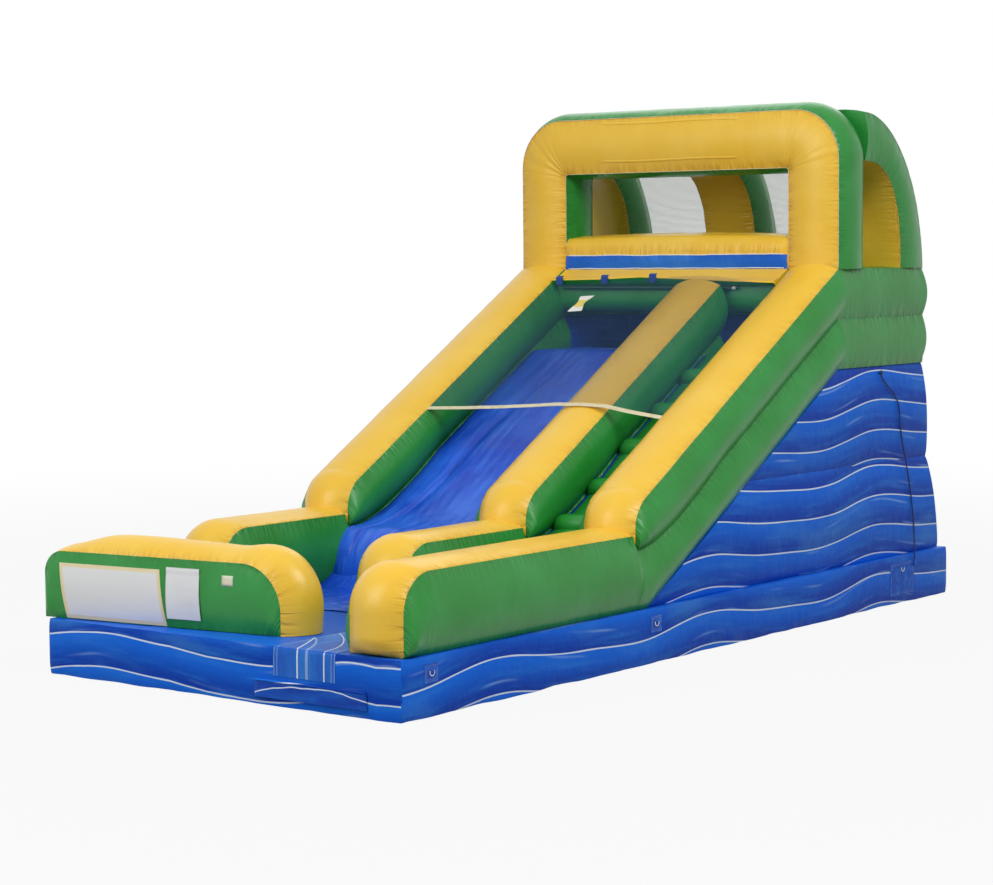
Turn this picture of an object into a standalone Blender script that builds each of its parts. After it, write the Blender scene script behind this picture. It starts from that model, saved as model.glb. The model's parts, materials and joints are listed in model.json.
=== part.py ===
"""Inflatable water slide with one sliding lane, one climbing lane and a platform tower.

Metres, +Z up. The origin is on the ground at the centre of the base chamber, the slide
runs out towards -Y, and the climbing lane is on the +X side. Every air chamber is a
hollow skin with an air port, so that it can be filled from its neighbour.
"""
import math

import bmesh
import bpy
from mathutils import Matrix, Vector

# Overall plan and the height of one stacked chamber
WIDTH = 3.66
LENGTH = 8.26
MODULE = 0.45
GAP = 0.0003
SKIN = 0.003
CUT_OVERRUN = 0.02

# Across the slide
SIDE_SETBACK = 0.03
WALL = 0.55
DIVIDER = 0.53
SLIDE_LANE = 1.42
wall_out = WIDTH / 2 - SIDE_SETBACK
wall_in = wall_out - WALL
divider_left = SLIDE_LANE - wall_in
divider_right = divider_left + DIVIDER

# Levels above the ground
base_top = MODULE
storey_top = 3 * MODULE
deck = 5 * MODULE
band_middle = 6 * MODULE
band_top = 7 * MODULE
PLATFORM = 0.12
bed_top = deck + PLATFORM

# Along the slide
RAKE = 0.585
TOWER_LENGTH = 2.03
FOOT_SETBACK = 0.06
STOREY_SETBACK = 0.31
BAND_SETBACK = 0.41
front = -LENGTH / 2
rear = LENGTH / 2
tower_front = rear - TOWER_LENGTH
tower_rear = rear - BAND_SETBACK
slope_angle = math.atan(RAKE)
foot_y = tower_front - (deck - base_top) / RAKE
layer = MODULE * math.cos(slope_angle)

# Swell of the inflated skins
BELLY = 0.04
CROWN = 0.06
seam_share = 0.92
swell_shares = ((1.0, 0.25), (1.0, 0.70))
crown_shares = ((0.55, 0.75), (0.0, 1.0), (-0.55, 0.75))
level_shares = ((0.18, 0.75), (0.5, 1.0), (0.82, 0.75))


def clear_scene():
    for item in list(bpy.data.objects):
        bpy.data.objects.remove(item, do_unlink=True)


def collection(name):
    group = bpy.data.collections.new(name)
    bpy.context.scene.collection.children.link(group)
    return group


clear_scene()
SLIDE = collection("inflatable_water_slide")
CUTTERS = collection("cutters")


def material(name, colour, roughness, metallic=0.0):
    finish = bpy.data.materials.new(name)
    finish.use_nodes = True
    shader = finish.node_tree.nodes["Principled BSDF"]
    shader.inputs["Base Color"].default_value = (*colour, 1.0)
    shader.inputs["Roughness"].default_value = roughness
    shader.inputs["Metallic"].default_value = metallic
    finish.diffuse_color = (*colour, 1.0)
    return finish


YELLOW = material("yellow_vinyl", (0.84, 0.55, 0.07), 0.35)
GREEN = material("green_vinyl", (0.045, 0.29, 0.06), 0.35)
MARBLE = material("blue_marble_vinyl", (0.03, 0.15, 0.58), 0.35)
LINER = material("blue_liner_vinyl", (0.01, 0.07, 0.62), 0.3)
MESH = material("grey_mesh", (0.45, 0.48, 0.5), 0.7)
NET = material("dark_net", (0.05, 0.09, 0.09), 0.7)
WEBBING = material("cream_webbing", (0.75, 0.66, 0.4), 0.8)
BLUE_WEB = material("blue_webbing", (0.02, 0.07, 0.3), 0.8)
PANEL = material("white_panel", (0.8, 0.8, 0.77), 0.5)
STEEL = material("zinc_steel", (0.62, 0.63, 0.65), 0.3, 1.0)
PLASTIC = material("black_plastic", (0.02, 0.02, 0.02), 0.4)
ROPE = material("blue_rope", (0.01, 0.03, 0.14), 0.9)


def link(name, mesh, finish, group=None):
    mesh.materials.clear()
    mesh.materials.append(finish)
    item = bpy.data.objects.new(name, mesh)
    (group or SLIDE).objects.link(item)
    return item


def finish_bmesh(name, bm, finish, group=None):
    bmesh.ops.recalc_face_normals(bm, faces=bm.faces)
    mesh = bpy.data.meshes.new(name)
    bm.to_mesh(mesh)
    bm.free()
    mesh.shade_smooth()
    mesh.set_sharp_from_angle(angle=math.radians(40))
    return link(name, mesh, finish, group)


def cylinder(name, centre, direction, radius, length, finish, sides, group=None):
    bm = bmesh.new()
    bmesh.ops.create_cone(bm, cap_ends=True, segments=sides, radius1=radius, radius2=radius,
                          depth=length)
    turn = Vector((0, 0, 1)).rotation_difference(Vector(direction)).to_matrix().to_4x4()
    bmesh.ops.transform(bm, matrix=Matrix.Translation(centre) @ turn, verts=bm.verts)
    return finish_bmesh(name, bm, finish, group)


def cut(item, cutter, operation="DIFFERENCE"):
    cutter.hide_render = True
    cutter.display_type = "WIRE"
    change = item.modifiers.new(cutter.name, "BOOLEAN")
    change.operation = operation
    change.object = cutter
    change.solver = "EXACT"


def pivot(item, place):
    """Set the origin of a moving piece on its joint's axis."""
    item.data.transform(Matrix.Translation(-Vector(place)))
    item.location = place


# Every chamber fills through one round port in a face that another chamber covers
PORT_RADIUS = 0.04
PORT_SIDES = 8


def inflate(item, port, direction):
    wall = item.modifiers.new("skin", "SOLIDIFY")
    wall.thickness = SKIN
    wall.offset = -1
    wall.use_even_offset = True
    cutter = cylinder(item.name + "_port", port, direction, PORT_RADIUS, 2 * CUT_OVERRUN,
                      PLASTIC, PORT_SIDES, CUTTERS)
    cut(item, cutter)
    return item


def tube_section(low_crown, high_crown):
    """Half-widths across, shares from the low to the high line, and swell past either."""
    low = [(seam_share, 0.0, 0.0)]
    high = [(seam_share, 1.0, 0.0)]
    for across, rise in crown_shares:
        if low_crown:
            low.append((across, 0.0, -low_crown * rise))
        if high_crown:
            high.append((across, 1.0, high_crown * rise))
    low.append((-seam_share, 0.0, 0.0))
    high.append((-seam_share, 1.0, 0.0))
    side = [(across, up, 0.0) for across, up in swell_shares]
    other = [(-across, up, 0.0) for across, up in reversed(swell_shares)]
    return list(reversed(low)) + side + high + other


def loft(name, stations, section, span, plane, finish):
    """Skin a chamber over rings, each drawn from a low point to a high point."""
    middle = (span[0] + span[1]) / 2
    half = (span[1] - span[0]) / 2
    bm = bmesh.new()
    rings = []
    for low, high, swell, *narrow in stations:
        low, high = Vector(low), Vector(high)
        along = (high - low).normalized()
        reach = half * narrow[0] if narrow else half
        ring = []
        for across, up, extra in section:
            point = low + (high - low) * up + along * extra * swell
            wide = middle + reach * across
            place = (wide, point.x, point.y) if plane == "YZ" else (point.x, wide, point.y)
            ring.append(bm.verts.new(place))
        rings.append(ring)
    for first, second in zip(rings, rings[1:]):
        for i in range(len(section)):
            j = (i + 1) % len(section)
            bm.faces.new((first[i], first[j], second[j], second[i]))
    bm.faces.new(rings[0])
    bm.faces.new(list(reversed(rings[-1])))
    return finish_bmesh(name, bm, finish)


def prism(name, outline, span, plane, finish, group=None):
    """Extrude a flat outline across the span."""
    bm = bmesh.new()
    corners = []
    for a, b in outline:
        place = {"YZ": (span[0], a, b), "XZ": (a, span[0], b), "XY": (a, b, span[0])}[plane]
        corners.append(bm.verts.new(place))
    face = bm.faces.new(corners)
    grown = bmesh.ops.extrude_face_region(bm, geom=[face])["geom"]
    moved = [part for part in grown if isinstance(part, bmesh.types.BMVert)]
    reach = span[1] - span[0]
    shift = {"YZ": (reach, 0, 0), "XZ": (0, reach, 0), "XY": (0, 0, reach)}[plane]
    bmesh.ops.translate(bm, vec=shift, verts=moved)
    return finish_bmesh(name, bm, finish, group)


def box(name, low, high, finish, group=None):
    outline = ((low[0], low[1]), (high[0], low[1]), (high[0], high[1]), (low[0], high[1]))
    return prism(name, outline, (low[2], high[2]), "XY", finish, group)


def offset_path(points, distance):
    """Shift an open path to its left by a distance, with mitred corners."""
    moved = []
    for i, point in enumerate(points):
        sides = []
        for a, b in ((i - 1, i), (i, i + 1)):
            if a >= 0 and b < len(points):
                run = (Vector(points[b]) - Vector(points[a])).normalized()
                sides.append(Vector((-run.y, run.x)))
        normal = sum(sides, Vector((0, 0))).normalized()
        moved.append(Vector(point) + normal * distance / normal.dot(sides[0]))
    return moved


def ribbon(name, path, thickness, span, plane, finish, group=None):
    """A strap or sheet of one thickness that follows a path, to the left of it."""
    outline = [tuple(p) for p in path] + [tuple(p) for p in reversed(offset_path(path, thickness))]
    return prism(name, outline, span, plane, finish, group)


def arc(centre, radii, start, end, steps):
    """Points on an ellipse, from one angle in degrees to another."""
    points = []
    for i in range(steps + 1):
        angle = math.radians(start + (end - start) * i / steps)
        points.append((centre[0] + radii[0] * math.cos(angle),
                       centre[1] + radii[1] * math.sin(angle)))
    return points


# Base chamber
BASE_CORNER = 0.05
BASE_SEAM = 0.05
BASE_TUCK = 0.03


def base_platform():
    bm = bmesh.new()
    bmesh.ops.create_cube(bm, size=1.0)
    bmesh.ops.scale(bm, vec=(WIDTH, LENGTH, base_top), verts=bm.verts)
    bmesh.ops.translate(bm, vec=(0, 0, base_top / 2), verts=bm.verts)
    upright = [e for e in bm.edges if abs(e.verts[0].co.z - e.verts[1].co.z) > GAP]
    bmesh.ops.bevel(bm, geom=upright, offset=BASE_CORNER, segments=3, profile=0.5,
                    affect="EDGES")
    for level in (BASE_SEAM, base_top - BASE_SEAM):
        bmesh.ops.bisect_plane(bm, geom=bm.verts[:] + bm.edges[:] + bm.faces[:],
                               plane_co=(0, 0, level), plane_no=(0, 0, 1))
    ends = [v for v in bm.verts if v.co.z < GAP or v.co.z > base_top - GAP]
    tuck = (1 - 2 * BASE_TUCK / WIDTH, 1 - 2 * BASE_TUCK / LENGTH, 1)
    bmesh.ops.scale(bm, vec=tuck, verts=ends)
    item = finish_bmesh("base_platform", bm, MARBLE)
    inflate(item, (0, (foot_y + rear) / 2, base_top), (0, 0, 1))


def ramp_y(height):
    return tower_front - (deck - height) / RAKE


def ramp_z(y):
    return deck - RAKE * (tower_front - y)


# Two storeys of the blue body, with their fronts cut to the slope
def storey(name, low, high, low_rear, high_rear):
    outline = ((ramp_y(low), low), (low_rear, low), (high_rear, high), (ramp_y(high), high))
    seam = wall_out - BELLY
    bm = bmesh.new()
    corners = [bm.verts.new((-seam, y, z)) for y, z in outline]
    face = bm.faces.new(corners)
    grown = bmesh.ops.extrude_face_region(bm, geom=[face])["geom"]
    moved = [part for part in grown if isinstance(part, bmesh.types.BMVert)]
    bmesh.ops.translate(bm, vec=(2 * seam, 0, 0), verts=moved)
    levels = [(low + (high - low) * share, swell) for share, swell in level_shares]
    for level, _ in levels:
        bmesh.ops.bisect_plane(bm, geom=bm.verts[:] + bm.edges[:] + bm.faces[:],
                               plane_co=(0, 0, level), plane_no=(0, 0, 1))
    for vert in bm.verts:
        for level, swell in levels:
            if abs(vert.co.z - level) < GAP:
                vert.co.x += math.copysign(BELLY * swell, vert.co.x)
                if vert.co.y > ramp_y(level) + layer:
                    vert.co.y += BELLY * swell / 2
    item = finish_bmesh(name, bm, MARBLE)
    inflate(item, (0, (ramp_y(low) + low_rear) / 2, low), (0, 0, 1))


# The line where the upper wall tubes sit on the lower ones and the lane beds end
SADDLE_SETBACK = 0.157
SADDLE_RISE = 0.48
SADDLE_REACH = 1.27
SADDLE_STEPS = 5
saddle_share = 0.33
knee_y = foot_y - SADDLE_SETBACK


def saddle():
    """A smooth curve from the knee up to the straight slope, then on to the tower."""
    start = Vector((knee_y, base_top + SADDLE_RISE))
    end_y = knee_y + SADDLE_REACH
    end = Vector((end_y, ramp_z(end_y) + MODULE))
    turn = Vector((knee_y + SADDLE_REACH * saddle_share, start.y))
    points = []
    for i in range(SADDLE_STEPS + 1):
        t = i / SADDLE_STEPS
        points.append(start * (1 - t) ** 2 + turn * 2 * t * (1 - t) + end * t * t)
    return points + [Vector((tower_front, band_middle))]


def lift(point, distance):
    return Vector((point[0], point[1] + distance))


# The sill under the window reaches forward in line with the slope, and the divider ends there
SILL_LIP = 0.24
lip_front = tower_front - SILL_LIP


# Lower wall tubes: a low run along the base that turns up the slope at the knee
LOW_WALL = 0.60
LOW_NOSE = 0.30
KNEE_NOTCH = 0.04
NOSE_STEPS = 4
NOSE_SWELL = 0.08
NOSE_TUCK = 0.10
dome_share = 0.72
RIGHT_WALL_START = 0.09
LANE_WALL_START = 1.43
ramp_lean_shares = (0.0, 0.0, 0.5, 0.8, 1.0, 1.0)


def nose(end, low, high, radius, towards, swell=0.0):
    """Rings that round off a swollen end and its top corner; towards is the way inwards."""
    rings = []
    centre = (end + towards * radius, high - radius)
    side = 180 if towards > 0 else 0
    turn = arc(centre, (radius, radius), side, 90, NOSE_STEPS)
    for i, point in enumerate(turn):
        rings.append([(end + towards * radius * i / NOSE_STEPS, low), point, 1.0])
    rings[0][2] = 0.5
    if swell:
        dome = end - towards * swell
        rings.insert(0, [(dome, low + NOSE_TUCK), (dome, high - radius), 0.0, dome_share])
    return rings


def lower_tube(name, span, start, end):
    low = base_top + GAP
    high = base_top + LOW_WALL
    stations = nose(start, low, high, LOW_NOSE, 1, NOSE_SWELL)
    stations.append(((knee_y - KNEE_NOTCH, low), (knee_y - KNEE_NOTCH, high), 1.0))
    line = saddle()
    lean = layer * math.sin(slope_angle)
    for i, share in enumerate(ramp_lean_shares):
        if i == 0:
            under = (knee_y, low)
        elif i == 1:
            under = (foot_y, low)
        else:
            y = line[i].x + lean * share
            under = (y, ramp_z(y) + GAP)
        stations.append((under, line[i], 0.0))
    stations.append(((end, ramp_z(end) + GAP), (end, ramp_z(end) + MODULE), 0.0))
    if end < lip_front + MODULE / 2:
        for y in (end + KNEE_NOTCH, tower_front - GAP):
            stations.append(((y, ramp_z(y) + GAP), (y, bed_top), 0.0))
    item = loft(name, stations, tube_section(0.0, CROWN), span, "YZ", GREEN)
    inflate(item, ((span[0] + span[1]) / 2, (start + LOW_NOSE + knee_y) / 2, low), (0, 0, 1))


# Upper wall tubes: from a rounded nose at the knee up to the tower
UPPER_NOSE = 0.30
nose_angles = (180.0, 150.0)


def upper_tube(name, span, end):
    line = saddle()
    lean = layer * math.sin(slope_angle)
    touch_y = knee_y + UPPER_NOSE * (1 - math.sin(slope_angle))
    centre_z = ramp_z(touch_y) + 2 * MODULE - UPPER_NOSE * math.cos(slope_angle)
    centre = Vector((knee_y + UPPER_NOSE, centre_z))
    tops = []
    for angle in nose_angles:
        turn = math.radians(angle)
        tops.append(centre + UPPER_NOSE * Vector((math.cos(turn), math.sin(turn))))
    tops.append(Vector((touch_y, ramp_z(touch_y) + 2 * MODULE)))
    for point in line[len(tops):-1]:
        y = point.x - lean
        tops.append(Vector((y, ramp_z(y) + 2 * MODULE)))
    tops.append(Vector((end, ramp_z(end) + 2 * MODULE)))
    line[-1] = Vector((end, ramp_z(end) + MODULE))
    stations = []
    for i, (under, over) in enumerate(zip(line, tops)):
        stations.append((lift(under, 2 * GAP), over, 0.5 if i == 0 else 1.0))
    item = loft(name, stations, tube_section(0.0, CROWN), span, "YZ", GREEN)
    port_at = (line[-2] + line[-1]) / 2
    inflate(item, ((span[0] + span[1]) / 2, port_at.x, port_at.y), (0, -RAKE, 1))


# Lane beds on the slope, with sewn channels along the slide
BED_NOSE = 0.26
BED_SINK = 0.43
CHANNEL_SWELL = 0.025
BED_CLEARANCE = 0.003
SLIDE_CHANNELS = 4
CLIMB_CHANNELS = 1
channel_shares = ((0.0, 0.0), (0.22, 0.8), (0.5, 1.0), (0.78, 0.8))
BED_NOSE_STEPS = 3


def channel_tops(count):
    """Places across the bed and the share of the swell there."""
    tops = []
    for channel in range(count):
        for across, rise in channel_shares:
            tops.append((1 - 2 * (channel + across) / count, rise))
    return tops + [(-1.0, 0.0)]


def bed_line():
    """The top of the bed, from the nose's foot on the base up to the platform."""
    line = saddle()
    centre = (line[0].x, line[0].y - BED_SINK)
    curve = [Vector(p) for p in arc(centre, (BED_NOSE, BED_SINK), 180, 90, BED_NOSE_STEPS)]
    lip_y = tower_front - (band_middle - bed_top) / RAKE
    level = [Vector((lip_y, bed_top)), Vector((tower_front - GAP, bed_top))]
    return curve + [p for p in line[1:-1]] + level


def bed(name, span, channels, finish):
    line = bed_line()
    low = base_top + GAP
    nose_count = BED_NOSE_STEPS + 1
    lean = layer * math.sin(slope_angle)
    stations = []
    for i, point in enumerate(line):
        if i < nose_count:
            under = Vector((line[0].x + (knee_y - line[0].x) * i / BED_NOSE_STEPS, low))
        elif i == nose_count:
            under = Vector((foot_y, low))
        elif i == len(line) - 1:
            under = Vector((point.x, deck + GAP))
        else:
            y = min(point.x + lean * ramp_lean_shares[min(i - BED_NOSE_STEPS, SADDLE_STEPS)],
                    tower_front - lean)
            under = Vector((y, ramp_z(y) + GAP))
        stations.append((under, point, 0.0 if i == 0 else 1.0))
    section = [(-1.0, 0.0, 0.0), (1.0, 0.0, 0.0)]
    section += [(across, 1.0, CHANNEL_SWELL * rise) for across, rise in channel_tops(channels)]
    item = loft(name, stations, section, span, "YZ", finish)
    port_y = (foot_y + tower_front) / 2
    inflate(item, ((span[0] + span[1]) / 2, port_y, ramp_z(port_y)), (0, -RAKE, 1))


# Slippery liner over the slide bed, the drop of its nose and the landing
LINER_SHEET = 0.002
LINER_REST = 0.0006
LINER_RUN = 1.15
LINER_FILLET = 0.16


def slide_liner(span):
    """Rings across the liner follow the bed, then fall to the base and run out."""
    line = bed_line()[1:]
    low = base_top + LINER_REST
    landing = [Vector((line[0].x - LINER_RUN, low)), Vector((line[0].x - LINER_FILLET, low))]
    path = landing + line
    bm = bmesh.new()
    middle = (span[0] + span[1]) / 2
    half = (span[1] - span[0]) / 2
    layers = []
    for step in (0, 1):
        rings = []
        for i, point in enumerate(path):
            behind, ahead = path[max(i - 1, 0)], path[min(i + 1, len(path) - 1)]
            run = (ahead - behind).normalized()
            normal = Vector((-run.y, run.x)) if i > 1 else Vector((0, 1))
            rest = LINER_REST * 2 if i > 1 else 0.0
            swell = CHANNEL_SWELL if i > 1 else 0.0
            ring = []
            for across, rise in channel_tops(SLIDE_CHANNELS):
                place = point + normal * (rest + swell * rise + LINER_SHEET * step)
                ring.append(bm.verts.new((middle + half * across, place.x, place.y)))
            rings.append(ring)
        layers.append(rings)
    count = len(channel_tops(SLIDE_CHANNELS))
    for rings in layers:
        for first, second in zip(rings, rings[1:]):
            for i in range(count - 1):
                bm.faces.new((first[i], first[i + 1], second[i + 1], second[i]))
    edge = [e for e in bm.edges if e.is_boundary]
    bmesh.ops.bridge_loops(bm, edges=edge)
    finish_bmesh("slide_liner", bm, LINER)


# Stop bumper across the foot of the slide
BUMPER_LENGTH = 2.23
BUMPER_DEPTH = 0.52
BUMPER_HEIGHT = 0.535
BUMPER_CROWN = 0.11
BUMPER_CORNERS = (0.18, 0.36)
BUMPER_SWELL = 0.03
BUMPER_OVERHANG = 0.03
BUMPER_SETBACK = 0.049
BUMPER_SKEW = 7.2
bumper_left = -wall_out - BUMPER_OVERHANG
bumper_seat = (Matrix.Translation((bumper_left, front + BUMPER_SETBACK, 0))
               @ Matrix.Rotation(math.radians(BUMPER_SKEW), 4, "Z"))
bumper_right = bumper_left + BUMPER_LENGTH * math.cos(math.radians(BUMPER_SKEW)) + BUMPER_SWELL


def stop_bumper():
    low = base_top + GAP
    high = base_top + BUMPER_HEIGHT
    left = nose(0.0, low, high, BUMPER_CORNERS[0], 1, BUMPER_SWELL)
    right = nose(BUMPER_LENGTH, low, high, BUMPER_CORNERS[1], -1, BUMPER_SWELL)
    item = loft("stop_bumper", left + list(reversed(right)), tube_section(0.0, BUMPER_CROWN),
                (0.0, BUMPER_DEPTH), "XZ", GREEN)
    item.data.transform(bumper_seat)
    middle = bumper_seat @ Vector((BUMPER_LENGTH / 2, BUMPER_DEPTH / 2, low))
    inflate(item, middle, (0, 0, 1))


# Green bands round three sides of the platform, and its floor
def tower_band(name, low, high):
    """A chamber swept round the sides and the back, mitred at both corners."""
    side = (wall_in + wall_out) / 2
    back = tower_rear - WALL / 2
    path = [Vector(p) for p in ((side, tower_front), (side, back), (-side, back),
                                (-side, tower_front))]
    outer = [a - b for a, b in zip(path, offset_path(path, WALL / 2))]
    bm = bmesh.new()
    rings = []
    for place, out in zip(path, outer):
        ring = []
        for across, up, _ in tube_section(0.0, 0.0):
            spot = place + out * across
            ring.append(bm.verts.new((spot.x, spot.y, low + (high - low) * up)))
        rings.append(ring)
    for first, second in zip(rings, rings[1:]):
        for i in range(len(first)):
            j = (i + 1) % len(first)
            bm.faces.new((first[i], first[j], second[j], second[i]))
    bm.faces.new(rings[0])
    bm.faces.new(list(reversed(rings[-1])))
    item = finish_bmesh(name, bm, GREEN)
    inflate(item, (-side, (tower_front + tower_rear) / 2, low), (0, 0, 1))


def platform_floor():
    reach = wall_in - GAP
    low = (-reach, tower_front, deck + GAP)
    high = (reach, tower_rear - WALL - GAP, bed_top)
    item = box("platform_floor", low, high, MARBLE)
    inflate(item, (0, (low[1] + high[1]) / 2, low[2]), (0, 0, 1))


# Front arch with its window, and the sill beam under the window
ARCH_DEPTH = 0.48
WINDOW_TOP = 4.07
ARCH_TOP = 4.60
ARCH_CROWN = 0.09
COLUMN_CROWN = 0.03
ARCH_CORNER = 0.45
SILL_LOW = 3.00
SILL_HIGH = 3.47
SILL_ROUND = 0.04
SILL_EDGE = 0.03
arch_back = tower_front + ARCH_DEPTH
sill_edge_z = min(ramp_z(lip_front) + 2 * MODULE, SILL_LOW + SILL_EDGE)


def front_arch():
    span = (tower_front, arch_back)
    for side, sign in (("left", -1), ("right", 1)):
        stations = []
        for z in (band_top + GAP, WINDOW_TOP - GAP):
            stations.append(((sign * wall_in, z), (sign * wall_out, z), 1.0))
        item = loft(f"{side}_arch_column", stations, tube_section(COLUMN_CROWN, COLUMN_CROWN),
                    span, "XZ", YELLOW)
        foot = (sign * (wall_in + wall_out) / 2, tower_front + ARCH_DEPTH / 2, band_top + GAP)
        inflate(item, foot, (0, 0, 1))
    left = nose(-wall_out, WINDOW_TOP, ARCH_TOP, ARCH_CORNER, 1)
    right = nose(wall_out, WINDOW_TOP, ARCH_TOP, ARCH_CORNER, -1)
    item = loft("arch_top_beam", left + list(reversed(right)), tube_section(0.0, ARCH_CROWN),
                span, "XZ", YELLOW)
    inflate(item, ((wall_in + wall_out) / 2, tower_front + ARCH_DEPTH / 2, WINDOW_TOP),
            (0, 0, 1))


# The sill also drops behind its lip, as a header over the tops of both lanes
HEADER_SETBACK = 0.09
HEADER_DEPTH = 0.35
HEADER_LOW = 2.76
HEADER_ROUND = 0.10
HEADER_STEPS = 4


def window_sill():
    reach = wall_in - COLUMN_CROWN - GAP
    face = lip_front + HEADER_SETBACK
    back = face + HEADER_DEPTH
    turn_z, radii = HEADER_LOW + HEADER_ROUND, (HEADER_ROUND, HEADER_ROUND)
    outline = [(lip_front, SILL_LOW), (face, SILL_LOW)]
    outline += arc((face + HEADER_ROUND, turn_z), radii, 180, 270, HEADER_STEPS)
    outline += arc((back - HEADER_ROUND, turn_z), radii, 270, 360, HEADER_STEPS)
    outline += [(back, SILL_LOW), (arch_back, SILL_LOW), (arch_back, SILL_HIGH - SILL_ROUND),
               (arch_back - SILL_ROUND, SILL_HIGH), (tower_front + SILL_ROUND, SILL_HIGH),
               (tower_front, SILL_HIGH - SILL_ROUND), (tower_front, band_top),
               (lip_front, sill_edge_z)]
    item = prism("window_sill", outline, (-reach, reach), "YZ", YELLOW)
    inflate(item, (reach, tower_front + ARCH_DEPTH / 2, (SILL_LOW + SILL_HIGH) / 2), (1, 0, 0))


# Side arches that brace the front arch to the rear band
ARCH_INNER_REACH = 0.68
ARCH_INNER_RISE = 0.98
BRACE_STEPS = 7
BRACE_CROWN = 0.03
INNER_POWER = 2.6
OUTER_POWER = 1.9
MIDDLE_ARCH_SHIFT = -0.11
MIDDLE_ARCH_WIDTH = 0.54
outer_reach = tower_rear - arch_back - BRACE_CROWN
outer_rise = ARCH_TOP - band_top - BRACE_CROWN


def super_arc(angle, reach, rise, power):
    """A point on a quarter of a squared-off ellipse about the back of the front arch."""
    c, s = math.cos(angle), math.sin(angle)
    return Vector((arch_back + GAP + reach * max(c, 0.0) ** (2 / power),
                   band_top + GAP + rise * max(s, 0.0) ** (2 / power)))


def side_arch(name, span, finish):
    stations = []
    for i in range(BRACE_STEPS + 1):
        angle = math.radians(90) * (1 - i / BRACE_STEPS)
        low = super_arc(angle, ARCH_INNER_REACH, ARCH_INNER_RISE, INNER_POWER)
        high = super_arc(angle, outer_reach, outer_rise, OUTER_POWER)
        stations.append((low, high, 1.0))
    item = loft(name, stations, tube_section(BRACE_CROWN, BRACE_CROWN), span, "YZ", finish)
    foot_y_mid = arch_back + (ARCH_INNER_REACH + outer_reach) / 2
    inflate(item, ((span[0] + span[1]) / 2, foot_y_mid, band_top + GAP), (0, 0, 1))


# Mesh that closes the back of the tower between the arches
MESH_SHEET = 0.003
MESH_STEPS = 8
mesh_depth_share = 0.6


def rear_mesh(name, span):
    path = []
    for i in range(MESH_STEPS + 1):
        angle = math.radians(90) * (1 - i / MESH_STEPS)
        low = super_arc(angle, ARCH_INNER_REACH, ARCH_INNER_RISE, INNER_POWER)
        high = super_arc(angle, outer_reach, outer_rise, OUTER_POWER)
        path.append(low.lerp(high, mesh_depth_share))
    ribbon(name, path, MESH_SHEET, (span[0] + GAP, span[1] - GAP), "YZ", MESH)


# Half-round steps across the climbing bed, and webbing grab handles between them
STEP_COUNT = 5
STEP_FIRST = 0.42
STEP_PITCH = 0.56
STEP_RADIUS = 0.09
STEP_SIDES = 6
HANDLE_COUNT = 2
HANDLE_WIDTH = 0.16
HANDLE_RISE = 0.05
HANDLE_WEB = 0.04
HANDLE_SHEET = 0.004
HANDLE_FOOT = 0.04


def bed_point(distance):
    """A point on the bed and the way it runs, measured up from the top of its nose."""
    line = bed_line()[BED_NOSE_STEPS:]
    for a, b in zip(line, line[1:]):
        length = (b - a).length
        if distance <= length or b is line[-1]:
            run = (b - a) / length
            return a + run * distance, run
        distance -= length


def bed_seat(distance, reach, x):
    """The frame of a piece that stands on the bed, clear of it to either side."""
    place, run = bed_point(distance)
    normal = Vector((-run.y, run.x))
    ends = [bed_point(distance + way)[0] for way in (-reach, reach)]
    place = place + normal * (max([0.0] + [(end - place).dot(normal) for end in ends]) + GAP)
    turn = Matrix.Rotation(math.atan2(run.y, run.x), 4, "X")
    return Matrix.Translation((x, place.x, place.y)) @ turn


def climb_step(index, span):
    """A half-round chamber whose underside follows the swell of the bed."""
    middle, width = (span[0] + span[1]) / 2, span[1] - span[0]
    stations = []
    for across, rise in reversed(channel_tops(CLIMB_CHANNELS)):
        x, lie = width / 2 * across, CHANNEL_SWELL * rise
        stations.append(((x, lie), (x, lie + STEP_RADIUS), 0.0))
    section = [(math.cos(angle), math.sin(angle), 0.0)
               for angle in (math.pi * i / STEP_SIDES for i in range(STEP_SIDES + 1))]
    item = loft(f"climb_step_{index + 1}", stations, section, (-STEP_RADIUS, STEP_RADIUS), "XZ",
                GREEN)
    seat = bed_seat(STEP_FIRST + STEP_PITCH * index, STEP_RADIUS, middle)
    item.matrix_world = seat
    inflate(item, seat @ Vector((0, 0, CHANNEL_SWELL)), seat.to_3x3() @ Vector((0, 0, 1)))


def bed_swell(offset, width):
    """How far the single channel stands up at an offset from its middle."""
    across = (1 - 2 * abs(offset) / width) / 2
    for (a, low), (b, high) in zip(channel_shares, channel_shares[1:]):
        if across <= b:
            return CHANNEL_SWELL * (low + (high - low) * (across - a) / (b - a))
    return CHANNEL_SWELL


def climb_handle(index, span):
    half = HANDLE_WIDTH / 2
    rise = HANDLE_RISE
    path = [(-half - HANDLE_FOOT, 0), (-half, 0), (rise / 2 - half, rise), (half - rise / 2, rise),
            (half, 0), (half + HANDLE_FOOT, 0)]
    item = ribbon(f"climb_handle_{index + 1}", path, HANDLE_SHEET,
                  (-HANDLE_WEB / 2, HANDLE_WEB / 2), "XZ", BLUE_WEB)
    distance = STEP_FIRST + STEP_PITCH * (STEP_COUNT - 2 - 2 * index) - STEP_PITCH / 2
    seat = bed_seat(distance, HANDLE_WEB / 2, (span[0] + span[1]) / 2)
    lie = bed_swell(half, span[1] - span[0])
    item.matrix_world = seat @ Matrix.Translation((0, 0, lie))


# Safety net over both lanes, held along its lower edge by a webbing strap
NET_START = 2.08
NET_CORD = 0.018
NET_SHEET = 0.003
NET_ROWS = 10
NET_REST = 0.0004
STRAP_WEB = 0.05
STRAP_SHEET = 0.003
net_columns = (7, 2, 3)
NET_LIFT = 0.055
NET_PEAK = 0.073
net_low_y = tower_front - NET_START
net_reach = wall_in + (1 - seam_share) * WALL / 2 - NET_REST


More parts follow.
